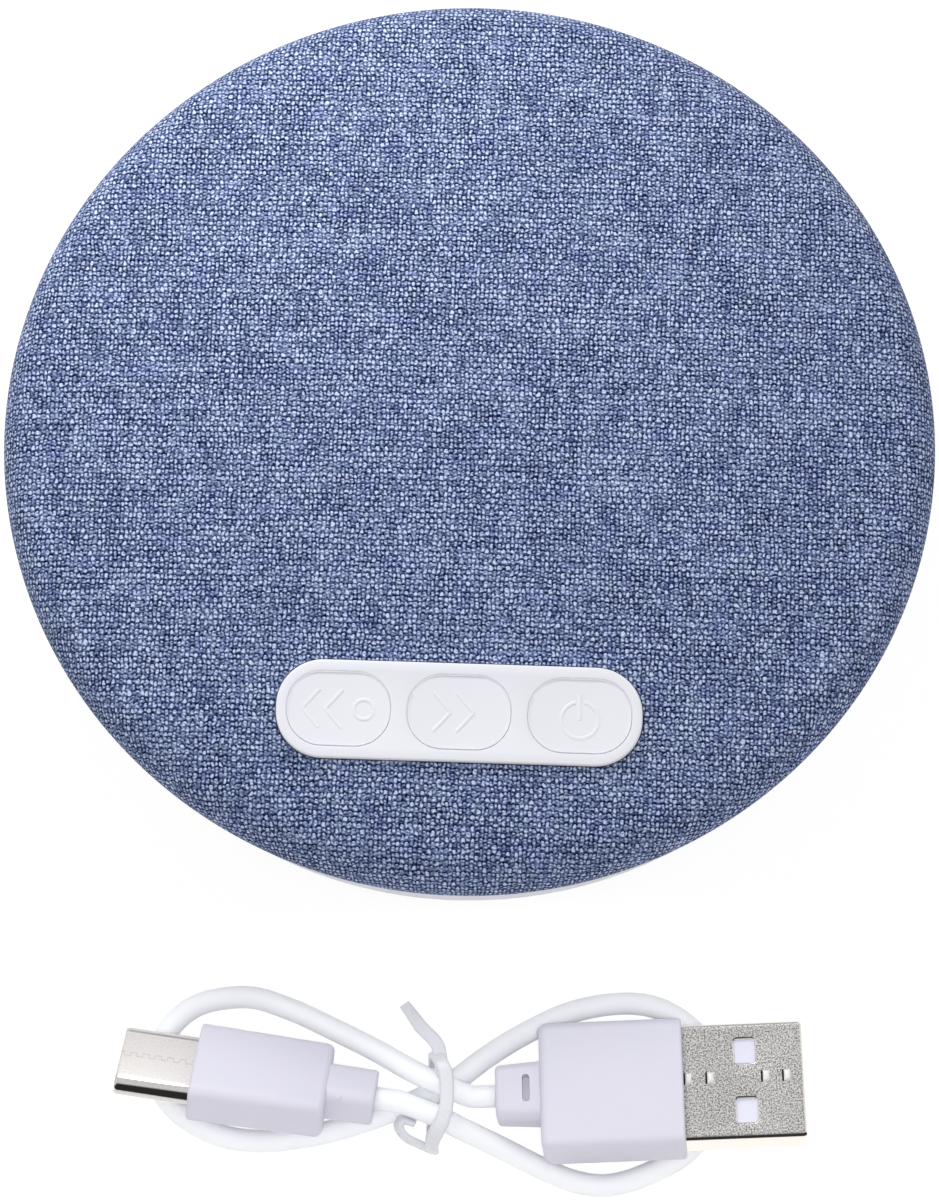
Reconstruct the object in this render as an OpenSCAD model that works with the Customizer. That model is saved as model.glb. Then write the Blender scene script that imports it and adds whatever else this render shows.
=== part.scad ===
// Round fabric-covered pillow speaker with a three-button control panel, its driver, battery and
// boards inside, and its short tied charging lead lying in front of it.
// Frame: table level at z = 0, axis of the round body along +Z, control panel towards -Y.

/* [Crown] */
// Diameter of the fabric crown at its widest
body_d = 95.7; // [94:0.1:100]
// Height from the table to the middle of the crown's top
body_h = 21.5; // [20.5:0.5:25]
// Radius of the shallow dome that forms the top
dome_r = 600; // [450:10:900]
// Radius of the rounded shoulder between the top and the side
shoulder_r = 4; // [3.6:0.1:4.6]
// Thickness of the woven cover
fabric_t = 0.7; // [0.5:0.1:0.9]
// Wall of the perforated shell under the cover
shell_t = 1.6; // [1.2:0.1:1.8]
// Drop from the crown's widest line to the seam between the cover and the base
seam_drop = 2.4; // [2:0.1:2.8]

/* [Base] */
// How far the base's lower edge stands inside the crown's widest line
base_inset = 2.4; // [2.2:0.1:2.8]
// How far the base's side leans out between its lower edge and the seam
base_draft = 1.45; // [1:0.05:1.6]
// Wall of the base
base_wall = 1.8; // [1.4:0.1:2]
// Floor of the base
base_floor = 2; // [1.8:0.1:2.2]
// Fillet along the base's lower edge
base_fillet = 0.8; // [0.4:0.1:1]
// Height of the shell's spigot inside the base's wall
spigot_h = 2; // [1.5:0.1:2.2]
// Thickness of the spigot
spigot_t = 1.4; // [1.2:0.1:1.6]
// Diameter of a rubber foot
foot_d = 10; // [8:0.5:11]
// How far a foot stands below the base
foot_h = 0.8; // [0.6:0.1:1]
// How deep a foot sits in the base
foot_sink = 0.8; // [0.5:0.1:0.9]

/* [Case screws] */
// Distance of a case screw from the base's lower edge
case_screw_off = 9.5; // [9:0.1:10.5]
// Angle of a case screw from the X axis
case_screw_angle = 38; // [36:1:42]
// Shank diameter of a case screw
case_screw_d = 2.2; // [1.8:0.1:2.4]
// Length of a case screw under its head
case_screw_l = 9; // [8:0.5:11]
// Diameter of a case screw's head
case_head_d = 4; // [3.6:0.1:4.4]
// Height of a case screw's head
case_head_h = 1.4; // [1:0.1:1.6]
// Diameter of a screw tower in the base and of the boss that it meets
tower_d = 6.6; // [6:0.2:7]
// Height of the plane in which towers and bosses meet
tower_z = 8; // [7.6:0.1:9]

/* [Control panel] */
// Width of the panel
panel_w = 36.5; // [36:0.1:38]
// Height of the panel
panel_h = 10; // [9.8:0.1:10.6]
// Corner radius of the panel
panel_corner_r = 4.7; // [3:0.1:4.9]
// Distance of the panel's middle from the crown's widest line
panel_off = 17.45; // [17:0.05:18.5]
// How far the panel's face stands above the cover
panel_proud = 0.3; // [0.1:0.05:0.5]
// Distance of an outer button from the panel's end
panel_end = 1.1; // [0.9:0.05:1.3]
// Bar between two buttons
button_bar = 1.7; // [1.4:0.1:2]
// Height of a button
button_h = 7.5; // [7:0.1:7.8]
// Corner radius of a button
button_corner_r = 3.5; // [2:0.1:3.5]
// Gap round a button
button_gap = 0.18; // [0.12:0.01:0.25]
// Travel of a button
button_travel = 0.4; // [0.2:0.05:0.5]
// Height of the raised sign on a button
sign_h = 0.12; // [0.08:0.01:0.2]
// Line width of the raised sign
sign_line = 0.55; // [0.4:0.05:0.7]

/* [Switches] */
// Side of a switch
switch_w = 4.6; // [4:0.1:5]
// Height of a switch
switch_h = 1.6; // [1.4:0.1:2]
// Diameter of a switch's plunger
plunger_d = 2; // [1.6:0.1:2.4]
// Thickness of the switch board
switch_board_t = 1; // [0.8:0.1:1.2]

/* [Driver] */
// Diameter of the driver's flange
driver_d = 40; // [39:0.5:42]
// Place of the driver's axis along Y
driver_y = 3; // [2:0.5:5]
// Drop from the crown's top to the face of the driver's seat
driver_drop = 4.9; // [4.6:0.1:5.4]
// Depth of the driver behind its flange face
driver_depth = 10; // [9.6:0.1:10.4]
// Diameter of the steel cup
yoke_d = 20.8; // [20.4:0.1:21.4]
// How far the pole plate stands out over the magnet
magnet_inset = 0.4; // [0.2:0.1:1]
// Outer diameter of the coil former
former_d = 15.8; // [15.7:0.05:15.9]
// Radius of a hole in the grille
grille_hole_r = 0.9; // [0.6:0.1:1.1]
// Distance between rings of grille holes
grille_pitch = 3.6; // [3:0.1:4]

/* [Battery and main board] */
// Width of the battery cell
cell_w = 18; // [15:0.5:20]
// Length of the battery cell
cell_l = 30; // [25:0.5:33]
// Thickness of the battery cell
cell_t = 5.5; // [4:0.5:6]
// Thickness of the tape under the battery cell
tape_t = 0.5; // [0.3:0.1:0.8]
// Gap between the battery cell and the base's wall
cell_off = 6; // [5.5:0.1:7]
// Width of the main board
board_w = 30; // [28:1:31]
// Length of the main board without its tab
board_l = 17; // [16:0.5:18]
// Thickness of the main board
board_t = 1.2; // [1:0.1:1.4]

/* [Charging socket] */
// Height of the charging socket's axis above the table
usb_z = 4.7; // [4.6:0.1:4.9]
// Width of the charging socket
socket_w = 8.94; // [8.8:0.02:9.1]
// Height of the charging socket
socket_h = 3.26; // [3.1:0.02:3.4]
// Length of the charging socket
socket_l = 7.3; // [6.8:0.1:7.6]
// Sheet thickness of the socket and of the plugs' shells
sheet_t = 0.3; // [0.2:0.05:0.35]

/* [Charging lead] */
// Diameter of the cord
cord_d = 2.3; // [2:0.1:2.4]
// Width of the large plug's grip
grip_a_w = 13.2; // [12.8:0.1:13.6]
// Thickness of the large plug's grip
grip_a_t = 7; // [6.4:0.1:7.2]
// Length of the large plug's grip
grip_a_l = 14.4; // [13:0.1:15]
// Length of the large plug's strain relief
relief_a_l = 4.5; // [4:0.1:5]
// Exposed length of the large plug's shell
shell_a_l = 12; // [11.5:0.1:12.5]
// Width of the small plug's grip
grip_c_w = 9.8; // [9.4:0.1:10.2]
// Thickness of the small plug's grip
grip_c_t = 5; // [4.6:0.1:5.4]
// Length of the small plug's grip
grip_c_l = 13.7; // [12:0.1:14]
// Length of the small plug's strain relief
relief_c_l = 4.8; // [4:0.1:5]
// Exposed length of the small plug's shell
shell_c_l = 7.5; // [6.5:0.1:8]
// Diameter of the tie's strand
tie_d = 0.9; // [0.7:0.1:0.9]

/* [Hidden] */
$fn = 96;
eps = 0.01;
far = 200;

// Clearances
fit_gap = 0.15;
glue_gap = 0.05;
screw_gap = 0.02;

// Crown
body_r = body_d / 2;
dome_z = body_h - dome_r;
shoulder_c = body_r - shoulder_r;
shoulder_z = dome_z + sqrt(pow(dome_r - shoulder_r, 2) - pow(shoulder_c, 2));
seam_z = shoulder_z - seam_drop;
shell_z = seam_z + fabric_t;

// Base
base_r = body_r - base_inset;
base_in_r = base_r - base_wall;
base_lean = base_draft / (seam_z - foot_h - base_fillet);
floor_z = foot_h + base_floor;
spigot_r = base_in_r - fit_gap;
spigot_in_r = spigot_r - spigot_t;
spigot_collar = 1.5;

// Case screws
tower_r = tower_d / 2;
case_screw_circle_r = base_r - case_screw_off;
head_seat_z = foot_h + foot_sink + case_head_h + 0.2;
case_screw_x = case_screw_circle_r * cos(case_screw_angle);
case_screw_y = case_screw_circle_r * sin(case_screw_angle);
case_screw_at = [for (s = [[1, 1], [-1, 1], [-1, -1], [1, -1]]) [s[0] * case_screw_x, s[1] * case_screw_y]];

// Control panel, in a frame whose z = 0 is the cover's surface at the panel's middle
button_w = (panel_w - 2 * panel_end - 2 * button_bar) / 3;
button_pitch = button_w + button_bar;
button_x = [-button_pitch, 0, button_pitch];
panel_tilt = asin((body_r - panel_off) / dome_r);
seat_z = -(fabric_t + shell_t + 1);
seat_top_z = -(fabric_t + 0.7 * shell_t);
panel_flange_t = 1;
panel_flange_lip = 1.2;
panel_back_z = seat_z - panel_flange_t;
button_face_t = 1.9;
ledge_z = panel_proud - button_face_t;
cap_lip = 0.75;
cap_lip_t = 0.8;
cap_back_z = ledge_z - glue_gap - cap_lip_t;
stem_r = 1.3;
stem_z = panel_back_z - 0.3;
plunger_r = plunger_d / 2;
plunger_sink = 0.4;
switch_top_z = stem_z - button_travel - 0.2;
switch_board_z = switch_top_z - switch_h;
post_r = 1.5;
post_x = panel_w / 2 + panel_flange_lip + post_r + 0.3;
pad_margin = 1.8;
switch_board_edge = 1;
switch_board_corner_r = 2;
switch_screw_bite = 2.4;
chevron_w = 1.9;
chevron_h = 4.1;
back_chevrons_x = [-2.8, -0.5];
next_chevrons_x = [-1.7, 0.6];
back_ring_x = 2.5;
back_ring_r = 1.25;
power_ring_r = 2.1;
power_ring_y = -0.4;
power_line_l = 2.6;
small_screw_r = 0.75;
small_head_r = 1.4;
small_head_h = 0.9;

// Driver, measured down from its flange face
driver_r = driver_d / 2;
gasket_t = 0.6;
seat_ring_z = body_h - driver_drop;
flange_z = seat_ring_z - gasket_t;
flange_t = 1;
flange_rim = 2.8;
basket_wall = 0.8;
rim_in_r = driver_r - flange_rim;
basket_r = rim_in_r + 0.2;
ledge_r = basket_r - basket_wall;
ledge_d = 0.6;
basket_d = 6;
basket_window_w = 6;
basket_sill = 0.6;
basket_lintel = 0.8;
step_d = 4.2;
step_r = ledge_r - 2;
yoke_r = yoke_d / 2;
yoke_wall = 1.4;
coil_t = 0.6;
coil_h = 1.9;
coil_reach = 1.8;
coil_gap = 0.5;
yoke_top_d = 5;
pole_t = 1.4;
former_r = former_d / 2;
former_t = 0.15;
pole_r = former_r - former_t - 0.35;
magnet_r = pole_r - magnet_inset;
coil_r = former_r + coil_t;
yoke_in_r = coil_r + coil_gap;
neck_d = 3.7;
cone_t = 0.4;
cone_rim_d = 0.8;
cone_r = ledge_r - 2.8;
dust_r = former_r + 1.1;
dust_rise = 2.2;
dust_t = 0.35;
roll_t = 0.35;
roll_c = (cone_r + ledge_r + 0.4) / 2;
roll_r = (ledge_r + 0.4 - cone_r) / 2;
driver_screw_r = 0.8;
driver_screw_circle_r = rim_in_r + flange_rim / 2 + 0.1;
driver_screw_l = 3.2;
grille_rings = 4;

// Battery and main board
cell_x = -(base_in_r - cell_off - cell_w / 2);
cell_lead_inset = 4;
cell_edge_r = 1.5;
tape_margin = 2;
board_z = usb_z - board_t / 2;
tab_w = 16;
tab_l = 3.6;
tab_off = 2.1;
tab_y = base_in_r - tab_off;
board_back_y = tab_y - tab_l;
board_front_y = board_back_y - board_l;
board_screw_off = 3;
board_screw_bite = 1.8;
board_post_r = 2;
board_screw_x = board_w / 2 - board_screw_off;
board_screw_at = [for (x = [-1, 1]) [x * board_screw_x, board_front_y + board_screw_off]];
socket_sink = 0.8;
socket_back_y = base_r + base_lean * (usb_z - foot_h - base_fillet) - socket_sink - socket_l;
socket_wall = 0.8;
tongue_w = 6.7;
tongue_t = 0.7;
tongue_l = 5.6;
wire_r = 0.55;
wire_stub = 1.2;
wire_lift = 1.2;
plug_w = 5;
plug_h = 2.6;
plug_l = 3;
plug_x = 5.5;
plug_off = 5;
battery_plug_at = [-plug_x, board_front_y + plug_off];
speaker_plug_at = [plug_x, board_front_y + plug_off];
chip_off = 5;
audio_chip_x = -8.5;
audio_chip_size = [6, 6, 0.9];
amplifier_x = 9.5;
amplifier_size = [5, 4, 1.4];
charge_coil_x = 1.8;
charge_coil_size = [4, 4, 2];

// Charging lead: a plug's frame has its origin where the cord leaves it and +X towards its tip
cord_r = cord_d / 2;
usb_a_at = [4.9, -66.1, 5];
usb_a_turn = [-7, -3.9, 3.6];
usb_c_at = [-7.3, -66.7, 5];
usb_c_turn = [33, -1.5, 173.6];
shell_a_w = 12;
shell_a_t = 4.5;
shell_a_hole_off = 6.2;
shell_a_hole_y = 3;
shell_a_hole_w = 2.6;
shell_a_hole_l = 2.1;
shell_c_w = 8.25;
shell_c_t = 2.4;
insert_slot_w = 6.6;
insert_slot_h = 0.8;
insert_back = 1.5;
tie_r = tie_d / 2;
tie_middle = [-0.2, -66.6, 3.95];
tie_half_y = 4.1;
tie_half_z = 3.4;
tie_square = 3;
tie_step = 1.15;

// The cord's way from the small plug, through the tie, round both loops, to the large plug
lead_points = [
    [-1.5, -68.1, 4.9], [1.5, -69.4, 4.2], [5.5, -70.9, 2.3], [9.5, -72.6, 1.25], [13, -73.9, 1.25],
    [16.5, -74.2, 1.25], [20.5, -72.9, 1.25], [24.5, -70.4, 1.25], [27, -66.6, 1.25], [27.2, -62.1, 1.25],
    [25, -58.4, 1.25], [21.5, -56.1, 1.25], [17.5, -55.6, 1.25], [12.5, -56.6, 1.25], [8, -58.8, 1.25],
    [4, -61.5, 1.8], [0.5, -64.4, 2.5], [-2, -65.8, 2.4], [-5.5, -67.4, 1.7], [-10, -69.1, 1.25],
    [-14.5, -70.3, 1.25], [-19.5, -70.9, 1.25], [-24, -70.1, 1.25], [-28, -67.6, 1.25], [-30, -63.9, 1.25],
    [-29, -60.1, 1.25], [-26, -57.2, 1.25], [-21, -56.2, 1.25], [-16.5, -57.3, 1.25], [-12, -59.3, 1.9],
    [-7.5, -61.6, 3.4], [-3.5, -63.9, 4.9], [-0.5, -65.2, 5.3]];
tie_tail = [[-4.7, -57.1, 5], [-3, -59.4, 5.8], [-1.2, -61.4, 6.7]];
tie_hook = [[-2.6, -71, 3], [-4.2, -70.3, 3.5], [-4.9, -69.2, 3.9], [-4.2, -68.6, 4.1], [-3.2, -69, 4.1]];

// Wires inside the body
wire_top_z = board_z + board_t + plug_h / 2;
driver_wire_x = 1;
battery_wire_x = 0.8;
terminal_w = 8;
terminal_h = 3;
terminal_t = 0.8;
terminal_x = 2;
terminal_drop = 3;
terminal_y = driver_y + basket_r + terminal_t + glue_gap;
terminal_z = flange_z - terminal_drop;

// Flat shapes

module rounded_rect(w, h, r) {
    square([w - 2 * r, h], center = true);
    square([w, h - 2 * r], center = true);
    for (x = [-1, 1], y = [-1, 1])
        translate([x * (w / 2 - r), y * (h / 2 - r)]) circle(r);
}

// Half section of the crown, moved in from the cover's surface and cut off below z_low
module crown_section(inset, z_low) {
    tangent_r = shoulder_c * (dome_r - inset) / (dome_r - shoulder_r);
    intersection() {
        translate([0, dome_z]) circle(dome_r - inset, $fn = 1440);
        translate([0, z_low]) square([tangent_r, far]);
    }
    intersection() {
        translate([shoulder_c, shoulder_z]) circle(shoulder_r - inset, $fn = 180);
        translate([shoulder_c, z_low]) square([far, far]);
    }
}

module chevron(w, h, line) {
    polygon([[w / 2, 0], [-w / 2, h / 2], [-w / 2, h / 2 - line * 1.5],
        [w / 2 - line * 1.9, 0], [-w / 2, -h / 2 + line * 1.5], [-w / 2, -h / 2]]);
}

// Solids and places

module ring(r_out, r_in, h) {
    difference() {
        cylinder(r = r_out, h = h);
        translate([0, 0, -eps]) cylinder(r = r_in, h = h + 2 * eps);
    }
}

module crown_solid(inset, z_low) {
    rotate_extrude($fn = 180) crown_section(inset, z_low);
}

module at_panel() {
    translate([0, 0, dome_z]) rotate([panel_tilt, 0, 0]) translate([0, 0, dome_r]) children();
}

module at_plug(place, turn) {
    translate(place) rotate([0, 0, turn[2]]) rotate([0, turn[1], 0]) rotate([turn[0], 0, 0]) children();
}

// A flat shape drawn in width and thickness, run along the plug's axis
module along_plug(from, length) {
    translate([from, 0, 0]) rotate([90, 0, 90]) linear_extrude(length) children();
}

// Tubes along a route

function unit(v) = v / norm(v);

function spline(a, b, c, d, t) = 0.5 * (2 * b + (c - a) * t + (2 * a - 5 * b + 4 * c - d) * t * t
    + (3 * b - a - 3 * c + d) * t * t * t);

function smooth(p, steps) = concat([p[0]],
    [for (i = [1 : len(p) - 3], s = [0 : steps - 1]) spline(p[i - 1], p[i], p[i + 1], p[i + 2], s / steps)],
    [p[len(p) - 2], p[len(p) - 1]]);

function heading(p, i) = unit(p[min(i + 1, len(p) - 1)] - p[max(i - 1, 0)]);

function rim(p, i, r, sides, ref) = let (u = unit(cross(heading(p, i), ref)), v = cross(u, heading(p, i)))
    [for (k = [0 : sides - 1]) p[i] + r * (cos(360 * k / sides) * u + sin(360 * k / sides) * v)];

module tube(p, r, sides, ref) {
    rings = len(p);
    points = [for (i = [0 : rings - 1]) each rim(p, i, r, sides, ref)];
    walls = [for (i = [0 : rings - 2], k = [0 : sides - 1])
        let (a = i * sides + k, b = i * sides + (k + 1) % sides)
        each [[a, b, a + sides], [b, b + sides, a + sides]]];
    caps = [for (k = [1 : sides - 2]) each [[0, k + 1, k],
        [(rings - 1) * sides, (rings - 1) * sides + k, (rings - 1) * sides + k + 1]]];
    polyhedron(points, concat(walls, caps));
}

// Direction in which the cord leaves a plug
function leave(turn) = [-cos(turn[2]) * cos(turn[1]), -sin(turn[2]) * cos(turn[1]), sin(turn[1])];

lead_route = concat([usb_c_at, usb_c_at + cord_d * leave(usb_c_turn)], lead_points,
    [usb_a_at + cord_d * leave(usb_a_turn), usb_a_at]);

function signed_power(v, n) = sign(v) * pow(abs(v), n);

// The tie's strand goes once and a half round the three runs of the cord
tie_route = concat(tie_tail,
    [for (a = [55 : 25 : 555]) tie_middle + [-tie_step * (a - 55) / 360,
        tie_half_y * signed_power(cos(a), 2 / tie_square),
        tie_half_z * signed_power(sin(a), 2 / tie_square)]],
    tie_hook);

// Least gap of the cord to itself, between points at least four diameters apart along it
fine_route = smooth(lead_route, 5);
run_length = [for (i = 0, l = 0; i < len(fine_route);
    i = i + 1, l = l + (i < len(fine_route) ? norm(fine_route[i] - fine_route[i - 1]) : 0)) l];
cord_length = run_length[len(run_length) - 1];
cord_gap = min([for (i = [0 : len(fine_route) - 2], j = [i + 1 : len(fine_route) - 1])
    if (run_length[j] - run_length[i] > 4 * cord_d) norm(fine_route[i] - fine_route[j]) - cord_d]);
echo(cord_length = cord_length, cord_gap_to_itself = cord_gap);

// Base and its fittings

module base_shell() {
    color("white") difference() {
        union() {
            rotate_extrude($fn = 180) base_section();
            for (p = case_screw_at)
                translate([p[0], p[1], foot_h + base_floor / 2])
                    cylinder(r = tower_r, h = tower_z - foot_h - base_floor / 2);
            for (p = board_screw_at)
                translate([p[0], p[1], foot_h + base_floor / 2])
                    cylinder(r = board_post_r, h = board_z - foot_h - base_floor / 2);
        }
        for (p = case_screw_at) translate([p[0], p[1], 0]) {
            cylinder(r = foot_d / 2 + glue_gap, h = foot_h + foot_sink);
            cylinder(r = case_head_d / 2 + fit_gap, h = head_seat_z);
            cylinder(r = case_screw_d / 2 + fit_gap, h = tower_z + eps);
        }
        for (p = board_screw_at)
            translate([p[0], p[1], foot_h + 0.6]) cylinder(r = small_screw_r + screw_gap, h = board_z);
        translate([0, socket_back_y, usb_z]) rotate([-90, 0, 0])
            linear_extrude(far) rounded_rect(socket_w + 2 * fit_gap, socket_h + 2 * fit_gap, socket_h / 2);
    }
}

module base_section() {
    difference() {
        polygon([[0, foot_h], [base_r, foot_h], [base_r, foot_h + base_fillet],
            [base_r + base_draft, seam_z], [0, seam_z]]);
        translate([-eps, floor_z]) square([base_in_r + eps, far]);
        difference() {
            translate([base_r - base_fillet, foot_h - base_fillet]) square(2 * base_fillet);
            translate([base_r - base_fillet, foot_h + base_fillet]) circle(base_fillet);
        }
    }
}

module foot(i) {
    color("gainsboro") translate([case_screw_at[i][0], case_screw_at[i][1], 0])
        cylinder(r = foot_d / 2, h = foot_h + foot_sink);
}

module case_screw(i) {
    color("silver") translate([case_screw_at[i][0], case_screw_at[i][1], head_seat_z]) {
        cylinder(r = case_screw_d / 2, h = case_screw_l);
        translate([0, 0, -case_head_h]) difference() {
            cylinder(r = case_head_d / 2, h = case_head_h);
            for (a = [0, 90]) rotate(a)
                cube([0.6, 2.2, 1.25], center = true);
        }
    }
}

// Crown

module top_shell() {
    color("white") difference() {
        union() {
            rotate_extrude($fn = 180) shell_section();
            intersection() {
                shell_fittings();
                crown_solid(fabric_t + shell_t / 2, tower_z);
            }
            panel_seat();
        }
        at_panel() translate([0, 0, -far / 2]) linear_extrude(far)
            rounded_rect(panel_w + 2 * fit_gap, panel_h + 2 * fit_gap, panel_corner_r + fit_gap);
        for (p = case_screw_at) translate([p[0], p[1], tower_z - eps])
            cylinder(r = case_screw_d / 2 + screw_gap, h = head_seat_z + case_screw_l + 0.4 - tower_z);
        at_panel() for (x = [-post_x, post_x]) translate([x, 0, switch_board_z - eps])
            cylinder(r = small_screw_r + screw_gap, h = seat_z - switch_board_z);
        translate([0, driver_y, seat_ring_z - eps]) driver_screw_places()
            cylinder(r = driver_screw_r + screw_gap, h = driver_screw_l - flange_t - gasket_t + 0.2);
        translate([0, driver_y, 0]) grille_holes();
    }
}

module shell_section() {
    difference() {
        crown_section(fabric_t, shell_z);
        crown_section(fabric_t + shell_t, shell_z - 1);
    }
    translate([spigot_in_r, seam_z - spigot_h]) square([spigot_t, spigot_h + fabric_t + spigot_collar]);
    intersection() {
        crown_section(fabric_t + shell_t / 2, shell_z);
        translate([spigot_in_r, shell_z]) square([far, spigot_collar]);
    }
}

module shell_fittings() {
    for (p = case_screw_at) translate([p[0], p[1], tower_z]) cylinder(r = tower_r, h = body_h);
    translate([0, driver_y, seat_ring_z]) ring(driver_r + 0.5, rim_in_r + glue_gap, driver_drop);
}

// Flat seat for the panel, with the posts that carry the switch board
module panel_seat() {
    intersection() {
        at_panel() translate([0, 0, seat_z]) linear_extrude(seat_top_z - seat_z)
            square([2 * (post_x + post_r), panel_h + 2 * pad_margin], center = true);
        cylinder(r = shoulder_c - 0.3, h = far);
    }
    at_panel() for (x = [-post_x, post_x]) translate([x, 0, switch_board_z])
        cylinder(r = post_r, h = seat_z - switch_board_z + eps);
}

module grille_holes() {
    translate([0, 0, seat_ring_z]) cylinder(r = grille_hole_r, h = far);
    for (k = [1 : grille_rings], i = [0 : 6 * k - 1]) rotate(60 * i / k)
        translate([k * grille_pitch, 0, seat_ring_z]) cylinder(r = grille_hole_r, h = far);
}

module fabric_cover() {
    color("lightsteelblue") difference() {
        rotate_extrude($fn = 180) difference() {
            crown_section(0, seam_z);
            crown_section(fabric_t, shell_z);
            translate([-eps, 0]) square([spigot_r + fit_gap + eps, shell_z + eps]);
        }
        at_panel() translate([0, 0, -far / 8]) linear_extrude(far)
            rounded_rect(panel_w + 2 * fit_gap, panel_h + 2 * fit_gap, panel_corner_r + fit_gap);
    }
}

// Control panel, buttons and switches

module control_panel() {
    hole_w = button_w + 2 * button_gap;
    color("whitesmoke") at_panel() difference() {
        union() {
            translate([0, 0, panel_back_z]) linear_extrude(panel_proud - panel_back_z)
                rounded_rect(panel_w, panel_h, panel_corner_r);
            translate([0, 0, panel_back_z]) linear_extrude(panel_flange_t)
                rounded_rect(panel_w + 2 * panel_flange_lip, panel_h + 2 * panel_flange_lip, panel_corner_r);
        }
        for (x = button_x) translate([x, 0, 0]) {
            translate([0, 0, panel_back_z - eps]) linear_extrude(far)
                rounded_rect(hole_w, button_h + 2 * button_gap, button_corner_r + button_gap);
            translate([0, 0, panel_back_z - eps]) linear_extrude(ledge_z - panel_back_z + eps)
                rounded_rect(hole_w, button_h + 2 * (cap_lip + button_gap), button_corner_r);
        }
    }
}

module button(x) {
    at_panel() translate([x, 0, 0]) {
        translate([0, 0, cap_back_z]) linear_extrude(panel_proud - cap_back_z)
            rounded_rect(button_w, button_h, button_corner_r);
        translate([0, 0, cap_back_z]) linear_extrude(cap_lip_t)
            rounded_rect(button_w, button_h + 2 * cap_lip, button_corner_r);
        translate([0, 0, stem_z]) cylinder(r = stem_r, h = cap_back_z - stem_z + eps);
        translate([0, 0, panel_proud - eps]) linear_extrude(sign_h + eps) children();
    }
}

module back_button() {
    color("whitesmoke") button(button_x[0]) {
        for (x = back_chevrons_x) translate([x, 0]) mirror([1, 0]) chevron(chevron_w, chevron_h, sign_line);
        translate([back_ring_x, 0]) difference() {
            circle(back_ring_r);
            circle(back_ring_r - sign_line);
        }
    }
}

module next_button() {
    color("whitesmoke") button(button_x[1])
        for (x = next_chevrons_x) translate([x, 0]) chevron(chevron_w, chevron_h, sign_line);
}

module power_button() {
    color("whitesmoke") button(button_x[2]) translate([0, power_ring_y]) {
        difference() {
            circle(power_ring_r);
            circle(power_ring_r - sign_line);
            translate([-sign_line, 0]) square([2 * sign_line, 2 * power_ring_r]);
        }
        translate([-sign_line / 2, 0]) square([sign_line, power_line_l]);
    }
}

module plunger(x) {
    color("dimgray") at_panel() translate([x, 0, switch_top_z - plunger_sink])
        cylinder(r = plunger_r, h = stem_z - switch_top_z + plunger_sink);
}

module key_switch(x) {
    color("silver") at_panel() translate([x, 0, switch_board_z]) difference() {
        translate([-switch_w / 2, -switch_w / 2, 0]) cube([switch_w, switch_w, switch_h]);
        translate([0, 0, switch_h - plunger_sink - button_travel - 0.1])
            cylinder(r = plunger_r + fit_gap, h = switch_h);
    }
}

module switch_board() {
    color("seagreen") at_panel() translate([0, 0, switch_board_z - switch_board_t]) difference() {
        linear_extrude(switch_board_t)
            rounded_rect(2 * (post_x + post_r), panel_h - 2 * switch_board_edge, switch_board_corner_r);
        for (x = [-post_x, post_x]) translate([x, 0, -eps])
            cylinder(r = small_screw_r + fit_gap, h = switch_board_t + 2 * eps);
    }
}

module small_screw(l) {
    translate([0, 0, -small_head_h]) cylinder(r = small_head_r, h = small_head_h);
    cylinder(r = small_screw_r, h = l);
}

module switch_board_screws() {
    color("silver") at_panel() for (x = [-post_x, post_x])
        translate([x, 0, switch_board_z - switch_board_t]) small_screw(switch_board_t + switch_screw_bite);
}

// Driver

module at_driver(depth) {
    translate([0, driver_y, flange_z - depth]) children();
}

module driver_screw_places() {
    for (a = [45 : 90 : 315]) rotate(a) translate([driver_screw_circle_r, 0, 0]) children();
}

module driver_gasket() {
    color("dimgray") at_driver(0) difference() {
        ring(driver_r, rim_in_r + 0.1, gasket_t);
        driver_screw_places() translate([0, 0, -eps]) cylinder(r = driver_screw_r + fit_gap, h = far);
    }
}

module driver_basket() {
    color("dimgray") at_driver(0) difference() {
        rotate_extrude() polygon([
            [driver_r, 0], [driver_r, -flange_t], [basket_r, -flange_t], [basket_r, -basket_d],
            [yoke_r + glue_gap, -basket_d], [yoke_r + glue_gap, -basket_d + basket_wall],
            [step_r, -basket_d + basket_wall], [step_r, -step_d], [ledge_r, -step_d],
            [ledge_r, -ledge_d], [rim_in_r, -ledge_d], [rim_in_r, 0]]);
        driver_screw_places() translate([0, 0, -2 * flange_t])
            cylinder(r = driver_screw_r + fit_gap, h = 4 * flange_t);
        for (a = [0 : 60 : 300]) rotate(a)
            translate([ledge_r - basket_wall, -basket_window_w / 2, -step_d + basket_sill])
                cube([3 * basket_wall, basket_window_w, step_d - ledge_d - basket_sill - basket_lintel]);
    }
}

module driver_yoke() {
    color("silver") at_driver(driver_depth) difference() {
        cylinder(r = yoke_r, h = driver_depth - yoke_top_d);
        translate([0, 0, yoke_wall]) cylinder(r = yoke_in_r, h = driver_depth);
    }
}

module driver_magnet() {
    color("gray") at_driver(driver_depth - yoke_wall)
        cylinder(r = magnet_r, h = driver_depth - yoke_wall - yoke_top_d - pole_t);
}

module driver_pole_plate() {
    color("silver") at_driver(yoke_top_d + pole_t) cylinder(r = pole_r, h = pole_t);
}

module voice_coil() {
    coil_low_d = yoke_top_d + coil_reach;
    color("peru") at_driver(coil_low_d) {
        ring(former_r, former_r - former_t, coil_low_d - neck_d + cone_t);
        ring(coil_r, former_r - eps, coil_h);
    }
}

module driver_cone() {
    color("dimgray") at_driver(0) rotate_extrude() polygon([
        [former_r + glue_gap, -neck_d], [cone_r, -cone_rim_d], [cone_r, -cone_rim_d + cone_t],
        [former_r + glue_gap, -neck_d + cone_t]]);
}

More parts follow.
